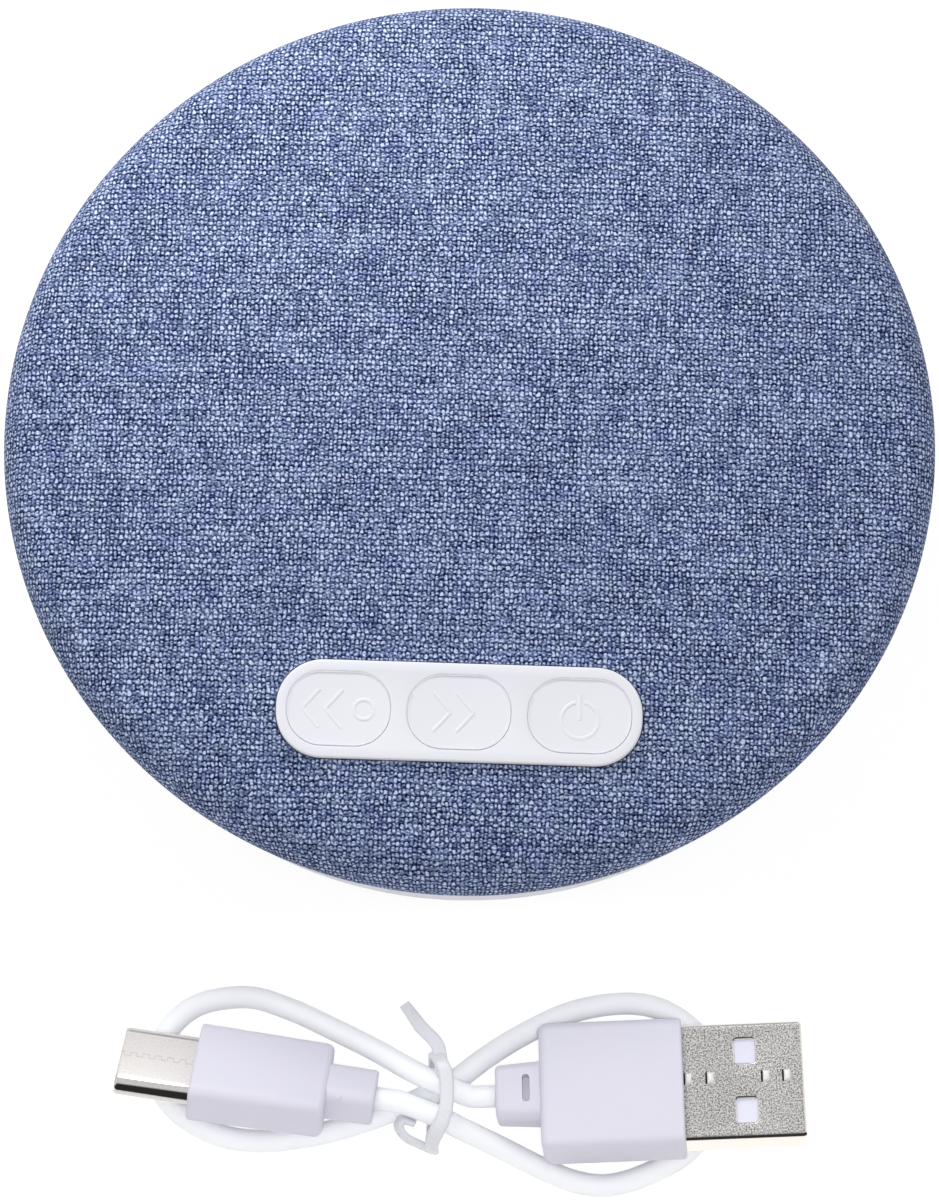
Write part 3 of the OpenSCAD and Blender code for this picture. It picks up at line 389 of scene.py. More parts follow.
def woven_material():
    """Plain weave of slubby mixed yarns, with painted light and shade, drawn on the cloth's own coordinates
    in millimetres.
    """
    g = material_graph("woven_cover")
    cloth = g.attribute("weave")
    cx, cy, _ = g.split(cloth)

    # Beads along u and rows along v, both a little astray
    sway = g.centred(g.noise(cloth, 0.5, 3.0, 0.6))
    drift = g.centred(g.noise(g.shifted(cloth, (31, 17, 5)), 0.5, 3.0, 0.6))
    shake = g.centred(g.noise(g.shifted(cloth, (90, 3, 0)), 1.5, 1.0))
    bend = g.centred(g.noise(g.shifted(cloth, (5, 90, 0)), 1.5, 1.0))
    u = g.math("MULTIPLY_ADD", shake, SHAKE, g.math("DIVIDE", cx, BEAD_PITCH))
    u = g.math("MULTIPLY_ADD", sway, SWAY, u)
    v = g.math("MULTIPLY_ADD", bend, BEND, g.math("DIVIDE", cy, ROW_PITCH))
    v = g.math("MULTIPLY_ADD", drift, DRIFT, v)
    row = g.math("FLOOR", v)
    threads = g.math("MULTIPLY_ADD", u, 2.0, 0.5)
    thread = g.math("FLOOR", threads)
    between = g.ramp(g.math("ABSOLUTE", g.centred(g.math("SUBTRACT", threads, thread))), 0.05, 0.5)
    staggered = g.math("MULTIPLY_ADD", g.math("FLOORED_MODULO", row, 2.0), 0.5, u)
    column = g.math("FLOOR", staggered)
    one = g.random(g.combine(column, row, 11.0))
    two = g.random(g.combine(column, row, 27.0))
    three = g.random(g.combine(g.math("FLOOR", g.math("ADD", staggered, 0.5)), row, 51.0))
    across = g.centred(g.math("SUBTRACT", staggered, column))
    along = g.centred(g.math("SUBTRACT", v, row))
    s = g.math("MULTIPLY_ADD", g.centred(two), UNEVEN_ACROSS, across)
    t = g.math("MULTIPLY_ADD", g.centred(one), UNEVEN_ALONG, along)
    side = g.math("ABSOLUTE", s)

    # Each bead of warp comes out from under a weft, with a bow over its top: a groove in the relief and a
    # painted shadow in the colour
    bow = g.math("MULTIPLY_ADD", g.math("MULTIPLY", s, s), -2.4, 0.37)
    arc = g.math("MULTIPLY", g.ramp(g.math("ABSOLUTE", g.math("SUBTRACT", t, bow)), 0.0, 0.19, 1.0, 0.0),
                 g.ramp(side, 0.2, 0.38, 1.0, 0.0))
    wide = g.math("DIVIDE", s, 0.25)
    tall = g.math("DIVIDE", g.math("ADD", t, 0.05), 0.58)
    bead = g.ramp(g.math("MULTIPLY_ADD", wide, wide, g.math("MULTIPLY", tall, tall)), 0.0, 1.15, 1.0, 0.0)
    cross = g.math("MULTIPLY", g.ramp(side, 0.26, 0.44),
                   g.ramp(g.math("ABSOLUTE", along), 0.1, 0.55, 1.0, 0.0))
    cross = g.math("MULTIPLY", cross, g.math("MULTIPLY_ADD", three, 1.5, 0.1))

    # Each yarn has its own slubs and its own tone, which drifts along it
    warp = g.math("MULTIPLY", thread, 7.31)
    weft = g.math("MULTIPLY", row, 5.77)
    slubs = g.noise(g.combine(warp, g.math("MULTIPLY", cy, 0.4), 0.0), 1.0, 2.0, 0.6)
    warp_slub = g.ramp(slubs, 0.55, 0.74)
    warp_tone = g.noise(g.combine(warp, g.math("MULTIPLY", cy, 0.13), 70.0), 1.0, 3.0, 0.65)
    weft_tone = g.noise(g.combine(g.math("MULTIPLY", cx, 0.15), weft, 40.0), 1.0, 3.0, 0.65)
    tone = g.centred(g.blend(g.math("MULTIPLY_ADD", bead, 0.5, 0.4), weft_tone, warp_tone))
    fibre = g.centred(g.noise(cloth, 3.9, 0.0))
    drawn = g.ramp(g.noise(g.shifted(cloth, (3, 5, 80)), 0.35, 2.0), 0.36, 0.64, 0.0, 0.14)

    # Brightness of the cloth, from which its colour is taken: painted highlights on beads and weft floats and
    # painted shade between threads, over the yarns' own slubs and tones
    # Painted highlight on each bead's crown, of random strength
    lit = g.math("MULTIPLY", bead, g.math("MULTIPLY_ADD", one, 1.1, 0.45))
    # Painted shadow along each bow, of random strength
    arc_shadow = g.math("MULTIPLY", arc, g.math("MULTIPLY_ADD", two, 0.8, 0.5))
    level = g.math("MULTIPLY_ADD", lit, WEAVE_BEAD, WEAVE_BASE)
    level = g.math("MULTIPLY_ADD", arc_shadow, -WEAVE_ARC_SHADOW, level)
    # Painted highlight on the weft floats between the beads
    level = g.math("MULTIPLY_ADD", cross, WEAVE_CROSS, level)
    # Painted shade in patches between the threads
    level = g.math("SUBTRACT", level, g.math("MULTIPLY", between, drawn))
    # Brighter and darker bands over each cell, offset along it
    ripple = g.math("MULTIPLY", g.math("COSINE", g.math("MULTIPLY", across, 2 * math.pi)),
                    g.math("COSINE", g.math("MULTIPLY_ADD", along, 3 * math.pi, RIPPLE_LEAD)))
    level = g.math("MULTIPLY_ADD", ripple, WEAVE_RIPPLE, level)
    level = g.math("MULTIPLY_ADD", warp_slub, WEAVE_SLUB, level)
    level = g.math("MULTIPLY_ADD", tone, WEAVE_TONE, level)
    level = g.math("MULTIPLY_ADD", fibre, WEAVE_FIBRE, level, clamp=True)
    colour = g.colours(level, [
        (0.0, shade(6, 12, 42)), (0.2, shade(38, 50, 90)), (0.45, shade(97, 112, 150)),
        (0.72, shade(152, 168, 204)), (1.0, shade(214, 225, 248))])
    dye = g.ramp(g.noise(g.shifted(cloth, (7, 60, 0)), 0.35, 2.0), 0.45, 0.7, 0.0, 0.7)
    colour = g.mix(dye, colour, g.mix(1.0, colour, (0.92, 0.91, 1.05), "MULTIPLY"))
    relief = g.math("MULTIPLY_ADD", bead, 0.6, g.math("MULTIPLY", cross, 0.4))
    relief = g.math("MULTIPLY_ADD", arc, -0.7, relief)
    g.bump(g.math("MULTIPLY_ADD", fibre, 0.3, relief), 0.5, 0.1)
    return g.set(Base_Color=colour, Roughness=0.92, Specular_IOR_Level=0.12,
                 Sheen_Weight=0.06, Sheen_Roughness=0.5)


def plastic_material(name, colour, tint, rough, grain, bump, gloss=0.45, soft=0.0):
    """Moulded plastic: a slight drift of colour, a fine grain and a gloss that varies with it."""
    g = material_graph(name)
    place = g.place()
    drift = g.noise(place, 0.12, 3.0)
    g.bump(g.noise(place, grain, 2.0), bump, 0.05)
    g.set(Subsurface_Weight=soft, Subsurface_Radius=(1.0, 1.0, 1.0), Subsurface_Scale=1.5 * MM)
    return g.set(Base_Color=g.mix(drift, shade(*colour), shade(*tint)), Specular_IOR_Level=gloss,
                 Roughness=g.ramp(g.noise(place, 0.9, 4.0), 0.25, 0.75, rough - 0.05, rough + 0.08))


def metal_material(name, dark, light, rough, grain=9.0, bump=0.3, metallic=1.0):
    """Sheet metal with a pitted or drawn grain."""
    g = material_graph(name)
    fine = g.noise(g.place(), grain, 3.0, 0.65)
    colour = g.mix(g.ramp(fine, 0.3, 0.7), shade(*dark), shade(*light))
    g.bump(fine, bump, 0.03)
    return g.set(Base_Color=colour, Metallic=metallic,
                 Roughness=g.ramp(fine, 0.3, 0.7, rough + 0.08, rough - 0.06))


SEAM_PITCH, SEAM_STEP = 1.25, 0.24


def plug_shell_material():
    """Bright plating: a satin face with the sheet's dovetailed seam along it, and polished sides."""
    g = material_graph("shell_c_metal")
    place = g.attribute("plug")
    x, y, z = g.split(place)
    fine = g.noise(place, 5.0, 3.0, 0.6)
    wave = g.math("SINE", g.math("MULTIPLY", x, 2 * math.pi / SEAM_PITCH))
    level = g.math("ABSOLUTE", g.math("MULTIPLY_ADD", g.math("SIGN", wave), -SEAM_STEP, y))
    run = g.ramp(level, 0.035, 0.1, 1.0, 0.0)
    rung = g.ramp(g.math("ABSOLUTE", wave), 0.1, 0.32, 1.0, 0.0)
    rung = g.math("MULTIPLY", rung, g.ramp(g.math("ABSOLUTE", y), SEAM_STEP, 0.3, 1.0, 0.0))
    seam = g.math("MULTIPLY", g.math("MAXIMUM", run, rung), g.ramp(z, 0.4, 0.8))
    satin = g.math("MULTIPLY", g.ramp(g.math("ABSOLUTE", y), 2.7, 3.15, 1.0, 0.0), g.ramp(z, 1.0, 1.15))
    colour = g.mix(g.ramp(fine, 0.3, 0.7), shade(204, 199, 196), shade(218, 214, 211))
    colour = g.mix(g.math("MULTIPLY", seam, 0.4), colour, shade(140, 135, 131))
    g.bump(g.math("MULTIPLY_ADD", seam, -0.7, g.math("MULTIPLY", fine, 0.2)), 0.25, 0.04)
    return g.set(Base_Color=colour, Metallic=g.ramp(satin, 0.0, 1.0, 1.0, 0.15),
                 Roughness=g.ramp(satin, 0.0, 1.0, 0.12, 0.38))


def grained_shell_material():
    """Plating with a fine pitted grain on its faces, a faint seam, and polished edges."""
    g = material_graph("shell_a_metal")
    place = g.attribute("plug")
    _, y, z = g.split(place)
    pits = g.noise(place, 6.2, 1.5, 0.6)
    broad = g.noise(place, 0.25, 2.0)
    face = g.ramp(z, 2.19, 2.24)
    grain = g.mix(g.ramp(pits, 0.36, 0.6), shade(114, 111, 108), shade(222, 220, 217))
    grain = g.mix(g.math("MULTIPLY", broad, 0.2), grain, shade(216, 213, 210))
    seam = g.ramp(g.math("ABSOLUTE", g.math("SUBTRACT", y, 0.33)), 0.02, 0.07, 0.3, 0.0)
    grain = g.mix(seam, grain, shade(110, 106, 102))
    g.bump(g.math("MULTIPLY", pits, face), 0.3, 0.04)
    return g.set(Base_Color=g.mix(face, shade(246, 240, 232), grain), Metallic=1.0,
                 Roughness=g.ramp(face, 0.0, 1.0, 0.12, 0.4))


def board_material():
    """Solder mask over faint copper tracks."""
    g = material_graph("circuit_board")
    place = g.place()
    x, y, _ = g.split(place)
    bend = g.noise(place, 0.35, 1.0)
    track = g.math("SINE", g.math("MULTIPLY_ADD", bend, 14.0, g.math("MULTIPLY", g.math("ADD", x, y), 3.2)))
    edge = g.ramp(track, 0.2, 0.5)
    colour = g.mix(edge, shade(20, 84, 48), shade(38, 112, 66))
    g.bump(edge, 0.3, 0.04)
    return g.set(Base_Color=colour, Roughness=g.ramp(edge, 0.0, 1.0, 0.42, 0.3))


def banded_material(name, dark, light, axis, pitch, metallic, rough):
    """Turns of wire or threads of cloth, side by side along one axis, with painted shade in the grooves and
    painted highlights on the crests.
    """
    g = material_graph(name)
    place = g.place()
    along = g.split(place)[axis]
    wander = g.noise(place, 1.2, 2.0)
    band = g.math("SINE", g.math("MULTIPLY_ADD", wander, 1.2, g.math("MULTIPLY", along, 2 * math.pi / pitch)))
    g.bump(band, 0.4, 0.04)
    # Painted shade in the grooves between turns, painted highlight on their crests
    colour = g.mix(g.ramp(band, -0.8, 0.8), shade(*dark), shade(*light))
    return g.set(Base_Color=colour, Metallic=metallic, Roughness=rough)


def fibre_material(name, dark, light, scale, rough):
    """Pressed paper, felt or foam."""
    g = material_graph(name)
    place = g.place()
    cells = g.node("TexVoronoi", feature="F1")
    g.put(cells.inputs["Vector"], place)
    cells.inputs["Scale"].default_value = scale
    grains = g.math("MULTIPLY", cells.outputs["Distance"], 0.5)
    mixed = g.math("MULTIPLY_ADD", g.noise(place, scale * 0.6, 4.0, 0.65), 0.6, grains)
    g.bump(mixed, 0.5, 0.06)
    colour = g.mix(g.ramp(mixed, 0.25, 0.75), shade(*dark), shade(*light))
    return g.set(Base_Color=colour, Roughness=rough, Specular_IOR_Level=0.25)


WOVEN = woven_material()
PANEL_PLASTIC = plastic_material("panel_plastic", (250, 250, 255), (246, 246, 254), 0.36, 10.0, 0.03)
CASE_PLASTIC = plastic_material("case_plastic", (240, 240, 246), (234, 234, 241), 0.42, 9.0, 0.06)
CORD_PLASTIC = plastic_material("cord_plastic", (250, 252, 255), (246, 248, 255), 0.42, 7.0, 0.05,
                                gloss=0.35, soft=0.5)
GRIP_PLASTIC = plastic_material("grip_plastic", (215, 213, 224), (210, 208, 220), 0.4, 8.0, 0.05, gloss=0.35)
TIE_PLASTIC = plastic_material("tie_plastic", (223, 223, 228), (214, 214, 220), 0.3, 12.0, 0.08)
INSULATOR_PLASTIC = plastic_material("insulator_plastic", (226, 226, 240), (216, 216, 232), 0.45, 9.0, 0.05,
                                     gloss=0.3)
DARK_PLASTIC = plastic_material("dark_plastic", (34, 34, 36), (50, 50, 53), 0.45, 8.0, 0.1)
CREAM_PLASTIC = plastic_material("housing_plastic", (232, 226, 206), (222, 214, 190), 0.42, 8.0, 0.08)
TAN_PLASTIC = fibre_material("terminal_board", (150, 116, 74), (184, 150, 106), 2.5, 0.7)
FERRITE = fibre_material("ferrite", (58, 58, 62), (92, 92, 96), 4.0, 0.6)
FOOT_RUBBER = fibre_material("foot_rubber", (186, 186, 190), (212, 212, 216), 3.0, 0.75)
BLACK_RUBBER = fibre_material("black_rubber", (22, 22, 24), (40, 40, 43), 3.0, 0.6)
GASKET_FOAM = fibre_material("gasket_foam", (24, 24, 26), (58, 58, 62), 5.0, 0.95)
TAPE_FOAM = fibre_material("tape_foam", (226, 226, 228), (246, 246, 248), 4.0, 0.9)
CONE_PAPER = fibre_material("cone_paper", (28, 28, 30), (62, 62, 66), 3.5, 0.85)
RED_WIRE = plastic_material("red_wire", (176, 28, 24), (150, 20, 20), 0.45, 8.0, 0.08)
BLACK_WIRE = plastic_material("black_wire", (26, 26, 28), (40, 40, 42), 0.45, 8.0, 0.08)
SPIDER_CLOTH = banded_material("spider_cloth", (150, 118, 44), (206, 172, 88), 0, 0.5, 0.0, 0.85)
COIL_WIRE = banded_material("coil_wire", (120, 60, 26), (214, 130, 70), 2, 0.22, 1.0, 0.35)
SCREW_STEEL = metal_material("screw_steel", (150, 150, 154), (206, 206, 210), 0.3)
SWITCH_STEEL = metal_material("switch_steel", (168, 168, 170), (214, 214, 216), 0.32, 6.0)
YOKE_STEEL = metal_material("yoke_steel", (130, 130, 136), (186, 186, 192), 0.3, 4.0)
MAGNET_NICKEL = metal_material("magnet_nickel", (120, 118, 116), (172, 170, 168), 0.22, 3.0)
SOCKET_STEEL = metal_material("socket_steel", (176, 174, 172), (222, 220, 218), 0.26, 6.0)
# Dark steel that fills the tabs' slits: painted shadow
SLIT_SHADOW = metal_material("slit_shadow", (30, 28, 27), (54, 51, 49), 0.4, 6.0)
# The tabs' plating, brighter and less mirror-like than the shell's: painted highlight
TAB_STEEL_LIT = metal_material("lit_tab_steel", (226, 222, 218), (248, 245, 242), 0.3, 6.0, 0.2, 0.3)
CELL_FOIL = metal_material("cell_foil", (178, 180, 186), (212, 214, 220), 0.4, 2.0, 0.4)
CONTACT_GOLD = metal_material("contact_gold", (190, 146, 56), (236, 196, 104), 0.24, 5.0)
BOARD = board_material()
SHELL_A_METAL = grained_shell_material()
SHELL_C_METAL = plug_shell_material()


def dress(piece, material):
    piece.data.materials.clear()
    piece.data.materials.append(material)
    return piece


# Cover: the crown's surface, opened for the panel and tucked under at the seam

def crown_height(x, y):
    return DOME_Z + math.sqrt(DOME_R ** 2 - x * x - y * y)


def panel_point(x, y, z):
    return AT_PANEL @ Vector((x, y, z))


def make_cover():
    tangent_r = SHOULDER_C * DOME_R / (DOME_R - SHOULDER_R)
    sides, steps, lip = 288, 26, 0.15
    step, row_share, hole_clear, rim_clear = 1.1, 0.87, 1.2, 0.6
    gap_w, gap_h, gap_r = PANEL_W + 2 * FIT_GAP, PANEL_H + 2 * FIT_GAP, PANEL_R + FIT_GAP
    hole = [panel_point(x, y, 0) for x, y in inset_outline(gap_w, gap_h, gap_r, -lip, PANEL_CORNER)]
    hole_flat = [Vector((p.x, p.y)) for p in hole]
    turns = [2 * math.pi * k / sides for k in range(sides)]
    rim = [Vector((tangent_r * math.cos(a), tangent_r * math.sin(a))) for a in turns]
    inner = []
    reach = int(tangent_r / step) + 1
    for i in range(-reach, reach + 1):
        for j in range(-reach, reach + 1):
            q = Vector(((i + 0.5 * (j % 2)) * step, j * step * row_share))
            near_hole = (abs(q.x) < PANEL_W / 2 + hole_clear
                         and abs(q.y + PANEL_OFF) < PANEL_H / 2 + hole_clear)
            if q.length < tangent_r - rim_clear and not near_hole:
                inner.append(q)
    flat = rim + hole_flat + inner
    n_rim, n_hole = len(rim), len(hole_flat)
    edges = [(k, (k + 1) % n_rim) for k in range(n_rim)]
    edges += [(n_rim + k, n_rim + (k + 1) % n_hole) for k in range(n_hole)]
    found, _, triangles, *_ = delaunay_2d_cdt(flat, edges, [], 0, 1e-6)
    hole_set = set(range(n_rim, n_rim + n_hole))
    faces = [tuple(t) for t in triangles if not set(t) <= hole_set]
    points = [Vector((q.x, q.y, crown_height(q.x, q.y))) for q in found]
    reached = [DOME_R * math.asin(p.to_2d().length / DOME_R) for p in points]
    weave = [p.to_2d().normalized() * s if s > 0 else Vector((0, 0)) for p, s in zip(points, reached)]

    # Shoulder, down to the seam and tucked under it
    start = math.asin(tangent_r / DOME_R)
    end = math.pi / 2 + math.asin((SHOULDER_Z - SEAM_Z) / SHOULDER_R)
    arc_start = DOME_R * start
    section = []
    for k in range(1, steps + 1):
        a = start + (end - start) * k / steps
        section.append((SHOULDER_C + SHOULDER_R * math.sin(a), SHOULDER_Z + SHOULDER_R * math.cos(a),
                        arc_start + SHOULDER_R * (a - start)))
    last_r, last_z, last_s = section[-1]
    section += [(last_r - tuck, last_z + rise, last_s + tuck)
                for tuck, rise in ((0.12, 0.02), (0.9, 0.05), (1.9, 0.06))]
    before = 0
    for r, z, s in section:
        first = len(points)
        for q in rim:
            d = q.normalized()
            points.append(Vector((d.x * r, d.y * r, z)))
            weave.append(d * s)
        bridge(faces, before, first, sides, flip=True)
        before = first

    # Edge of the opening, rolled down beside the panel
    before = n_rim
    rolled = ((0.7, -0.03), (0.35, -0.13), (0.08, -0.29), (0.0, -0.5), (0.0, -FABRIC_T - 0.1))
    for share, z in rolled:
        first = len(points)
        ring = inset_outline(gap_w, gap_h, gap_r, lip * share - lip, PANEL_CORNER)
        for x, y in ring:
            p = panel_point(x, y, z)
            points.append(p)
            weave.append(Vector((p.x, p.y)))
        bridge(faces, before, first, n_hole)
        before = first
    made = mesh_object("fabric_cover_skin", points, faces)
    layer = made.data.attributes.new("weave", "FLOAT_VECTOR", "POINT")
    for item, w in zip(layer.data, weave):
        item.vector = (w.x, w.y, 0)
    return made


cover = dress(make_cover(), WOVEN)


# Control panel

def flat_region(outer, holes):
    """Triangles between an outline and the holes in it, as (points, faces)."""
    loops = [outer, *holes]
    flat = [Vector(p) for loop in loops for p in loop]
    edges, owner, first = [], [], 0
    for i, loop in enumerate(loops):
        n = len(loop)
        edges += [(first + k, first + (k + 1) % n) for k in range(n)]
        owner += [i] * n
        first += n
    _, _, triangles, *_ = delaunay_2d_cdt(flat, edges, [], 0, 1e-6)
    kept = []
    for t in triangles:
        owners = {owner[i] for i in t}
        if len(owners) > 1 or owners == {0}:
            kept.append(tuple(t))
    return flat, kept


def quarter(radius, angles):
    """Insets and drops of a rounded edge, from its flat side."""
    return [(radius * (1 - math.sin(a)), radius * (1 - math.cos(a))) for a in map(math.radians, angles)]


def make_panel():
    edge, hole_edge, ledge = 0.22, 0.07, 0.14
    hole = (BUTTON_W + 2 * SLIT, BUTTON_H + 2 * SLIT, BUTTON_R + SLIT)
    places = [-BUTTON_PITCH, 0, BUTTON_PITCH]
    outer = inset_outline(PANEL_W, PANEL_H, PANEL_R, edge, PANEL_CORNER)
    holes = [[(x + px, y) for px, y in inset_outline(*hole, -hole_edge, BUTTON_CORNER)] for x in places]
    flat, faces = flat_region(outer, holes)
    points = [(p.x, p.y, PANEL_PROUD) for p in flat]
    n_outer, n_hole = len(outer), len(holes[0])
    before = 0
    walls = [(inset, PANEL_PROUD - drop) for inset, drop in quarter(edge, (22.5, 45, 67.5, 90))]
    walls += [(0.0, SEAT_Z), (-PANEL_LIP, SEAT_Z - 0.02), (-PANEL_LIP, PANEL_BACK_Z)]
    for inset, z in walls:
        first = len(points)
        points += [(x, y, z) for x, y in inset_outline(PANEL_W, PANEL_H, PANEL_R, inset, PANEL_CORNER)]
        bridge(faces, before, first, n_outer, flip=True)
        before = first
    outer_low = before
    hole_low = []
    for i, x in enumerate(places):
        before = n_outer + i * n_hole
        steps = [(-inset, PANEL_PROUD - drop) for inset, drop in quarter(hole_edge, (30, 60, 90))]
        steps += [(SLIT - 0.02, PANEL_PROUD - ledge), (SLIT - 0.02, PANEL_BACK_Z)]
        for inset, z in steps:
            first = len(points)
            points += [(x + px, y, z) for px, y in inset_outline(*hole, inset, BUTTON_CORNER)]
            bridge(faces, before, first, n_hole)
            before = first
        hole_low.append(before)
    low_outer = [points[outer_low + k][:2] for k in range(n_outer)]
    low_holes = [[points[h + k][:2] for k in range(n_hole)] for h in hole_low]
    _, low_faces = flat_region(low_outer, low_holes)
    index = [outer_low + k for k in range(n_outer)] + [h + k for h in hole_low for k in range(n_hole)]
    faces += [tuple(index[i] for i in reversed(t)) for t in low_faces]
    return mesh_object("control_panel_skin", moved(points, AT_PANEL), faces, sharp=35)


panel = dress(make_panel(), PANEL_PLASTIC)


# Buttons: dished faces with a soft rim and raised signs

DISH, DISH_EDGE, DISH_POWER, DISH_RINGS = 0.26, 0.02, 2.2, 14
RIM, BUTTON_FOOT = 0.08, -2.0
SIGN_LINE, SIGN_H, SIGN_ROOT = 0.5, 0.05, -0.06
SIGN_SECTION = [(-1.0, SIGN_ROOT), (-0.7, 0.6 * SIGN_H), (-0.3, SIGN_H),
                (0.3, SIGN_H), (0.7, 0.6 * SIGN_H), (1.0, SIGN_ROOT)]


def dish_height(x, y):
    along, across = abs(x) / (BUTTON_W / 2 - RIM), abs(y) / (BUTTON_H / 2 - RIM)
    share = min(1.0, along ** DISH_POWER + 0.5 * across ** DISH_POWER)
    return PANEL_PROUD - DISH_EDGE - DISH * (1 - share)


def chevron(x, side):
    """A chevron's line with its point towards side, in the middle of the button."""
    w, h = 0.85, 1.95
    return [(x + side * w * (1 - abs(k) / 2), h * k / 4) for k in (4, 3, 2, 1, 0.1, -0.1, -1, -2, -3, -4)]


def arc(x, y, r, start, end, steps):
    return [(x + r * math.cos(math.radians(start + (end - start) * k / steps)),
             y + r * math.sin(math.radians(start + (end - start) * k / steps))) for k in range(steps + 1)]


SIGNS = {
    "back": [chevron(-2.8, -1), chevron(-0.5, -1), arc(2.5, 0, 1.0, 0, 360, 24)],
    "next": [chevron(-1.7, 1), chevron(0.6, 1)],
    "power": [arc(0, -0.4, 1.85, 105, 435, 36), [(0, 2.2), (0, 1.4), (0, 0.6), (0, -0.4)]]}


def add_sign(points, faces, line):
    """A low rounded ridge along a line on the dished face."""
    line = [Vector(p) for p in line]
    n = len(SIGN_SECTION)
    first = len(points)
    for i, p in enumerate(line):
        along = (line[min(i + 1, len(line) - 1)] - line[max(i - 1, 0)]).normalized()
        side = Vector((-along.y, along.x))
        for s, h in SIGN_SECTION:
            q = p + side * (s * SIGN_LINE / 2)
            points.append((q.x, q.y, dish_height(q.x, q.y) + h))
    for i in range(len(line) - 1):
        for k in range(n - 1):
            a = first + i * n + k
            faces.append((a, a + n, a + n + 1, a + 1))
    for start in (first, first + (len(line) - 1) * n):
        end = tuple(range(start, start + n))
        faces.append(end if start == first else tuple(reversed(end)))


def make_button(name, x):
    rings = []
    for k in range(1, DISH_RINGS + 1):
        s = k / DISH_RINGS
        rings.append([(px * s, py * s, dish_height(px * s, py * s))
                      for px, py in inset_outline(BUTTON_W, BUTTON_H, BUTTON_R, RIM, BUTTON_CORNER)])
    for inset, drop in quarter(RIM, (18, 36, 54, 72, 90)):
        rings.append([(px, py, PANEL_PROUD - drop)
                      for px, py in inset_outline(BUTTON_W, BUTTON_H, BUTTON_R, inset, BUTTON_CORNER)])
    rings.append([(px, py, BUTTON_FOOT) for px, py in outline(BUTTON_W, BUTTON_H, BUTTON_R, BUTTON_CORNER)])
    n = len(rings[0])
    points = [(0, 0, dish_height(0, 0))] + [p for ring in rings for p in ring]
    faces = [(0, 1 + k, 1 + (k + 1) % n) for k in range(n)]
    for i in range(len(rings) - 1):
        bridge(faces, 1 + i * n, 1 + (i + 1) * n, n, flip=True)
    faces.append(tuple(reversed(range(1 + (len(rings) - 1) * n, 1 + len(rings) * n))))
    for line in SIGNS[name]:
        add_sign(points, faces, line)
    placed = moved([(px + x, py, pz) for px, py, pz in points], AT_PANEL)
    return mesh_object(name + "_button_skin", placed, faces, sharp=40)


buttons = {name: dress(make_button(name, x), PANEL_PLASTIC)
           for name, x in (("back", -BUTTON_PITCH), ("next", 0.0), ("power", BUTTON_PITCH))}


# Plugs, in frames whose origin is where the cord leaves them and whose +X is towards their tips

def plug_object(name, points, faces, at, sharp=50):
    made = mesh_object(name, moved(points, at), faces, sharp)
    layer = made.data.attributes.new("plug", "FLOAT_VECTOR", "POINT")
    for item, p in zip(layer.data, points):
        item.vector = p
    return made


def plug_rings(sections):
    return [[(x, y, z) for y, z in outline(w, t, min(r, w / 2 - 0.01, t / 2 - 0.01), PLUG_CORNER)]
            for x, w, t, r in sections]


def rounded_ends(x0, x1, w0, w1, t, r, start_r, end_r):
    """Sections of a rounded block from x0 to x1, its ends drawn in by start_r and end_r."""
    sections = []
    angles = [math.radians(15 * k) for k in range(7)]
    for a in angles:
        cut = start_r * (1 - math.sin(a))
        sections.append((x0 + start_r * (1 - math.cos(a)), w0 - 2 * cut, t - 2 * cut, max(r - cut, 0.3)))
    for a in angles:
        cut = end_r * (1 - math.cos(a))
        sections.append((x1 - end_r * (1 - math.sin(a)), w1 - 2 * cut, t - 2 * cut, max(r - cut, 0.3)))
    return sections


def make_plug_body(name, at, sections, nubs=()):
    """A moulded body through these sections, with round nubs given as x, y, z and radius."""
    points, faces = loft(plug_rings(sections))
    for x, y, z, r in nubs:
        rings = [[(x + r * math.cos(b), y + r * math.sin(b) * math.cos(a), z + r * math.sin(b) * math.sin(a))
                  for a in (math.radians(20 * k) for k in range(18))]
                 for b in (math.radians(d) for d in range(170, 9, -20))]
        add_form(points, faces, loft(rings))
    return plug_object(name, points, faces, at)


def slot_cut(piece, at, middle, size):
    """Cuts a rounded pocket of that size, round its middle, into a plug's piece."""
    x, y, z = middle
    l, w, d = size
    ring = outline(l, w, l / 2 - 0.01, HOLE_CORNER)
    points, faces = loft([[(x + px, y + py, z + h) for px, py in ring] for h in (-d, d)])
    cutter = mesh_object("cutter", moved(points, at), faces)
    cut = piece.modifiers.new("slot", "BOOLEAN")
    cut.object, cut.operation, cut.solver = cutter, "DIFFERENCE", "EXACT"
    bpy.context.view_layer.update()
    made = bpy.data.meshes.new_from_object(piece.evaluated_get(bpy.context.evaluated_depsgraph_get()))
    made.set_sharp_from_angle(angle=math.radians(40))
    piece.modifiers.clear()
    piece.data = made
    bpy.data.objects.remove(cutter)


grip_a = make_plug_body("usb_a_grip_skin", AT_A, rounded_ends(
    x0=4.5, x1=SHELL_A_X, w0=13.2, w1=13.2, t=7.0, r=1.1, start_r=1.0, end_r=0.35))
relief_a = make_plug_body("usb_a_relief_skin", AT_A, rounded_ends(
    x0=0.0, x1=5.2, w0=5.6, w1=6.2, t=4.8, r=1.2, start_r=0.5, end_r=0.1))
slot_cut(relief_a, AT_A, middle=(3.1, 0.1, 2.4), size=(0.75, 2.8, 1.3))
grip_c = make_plug_body("usb_c_grip_skin", AT_C, rounded_ends(
    x0=4.8, x1=SHELL_C_X, w0=9.5, w1=9.9, t=5.0, r=1.2, start_r=0.8, end_r=0.35))
relief_c = make_plug_body("usb_c_relief_skin", AT_C, rounded_ends(
    x0=0.0, x1=5.4, w0=4.9, w1=5.0, t=4.3, r=1.2, start_r=0.35, end_r=0.1), nubs=[(3.6, 1.9, 1.5, 0.5)])
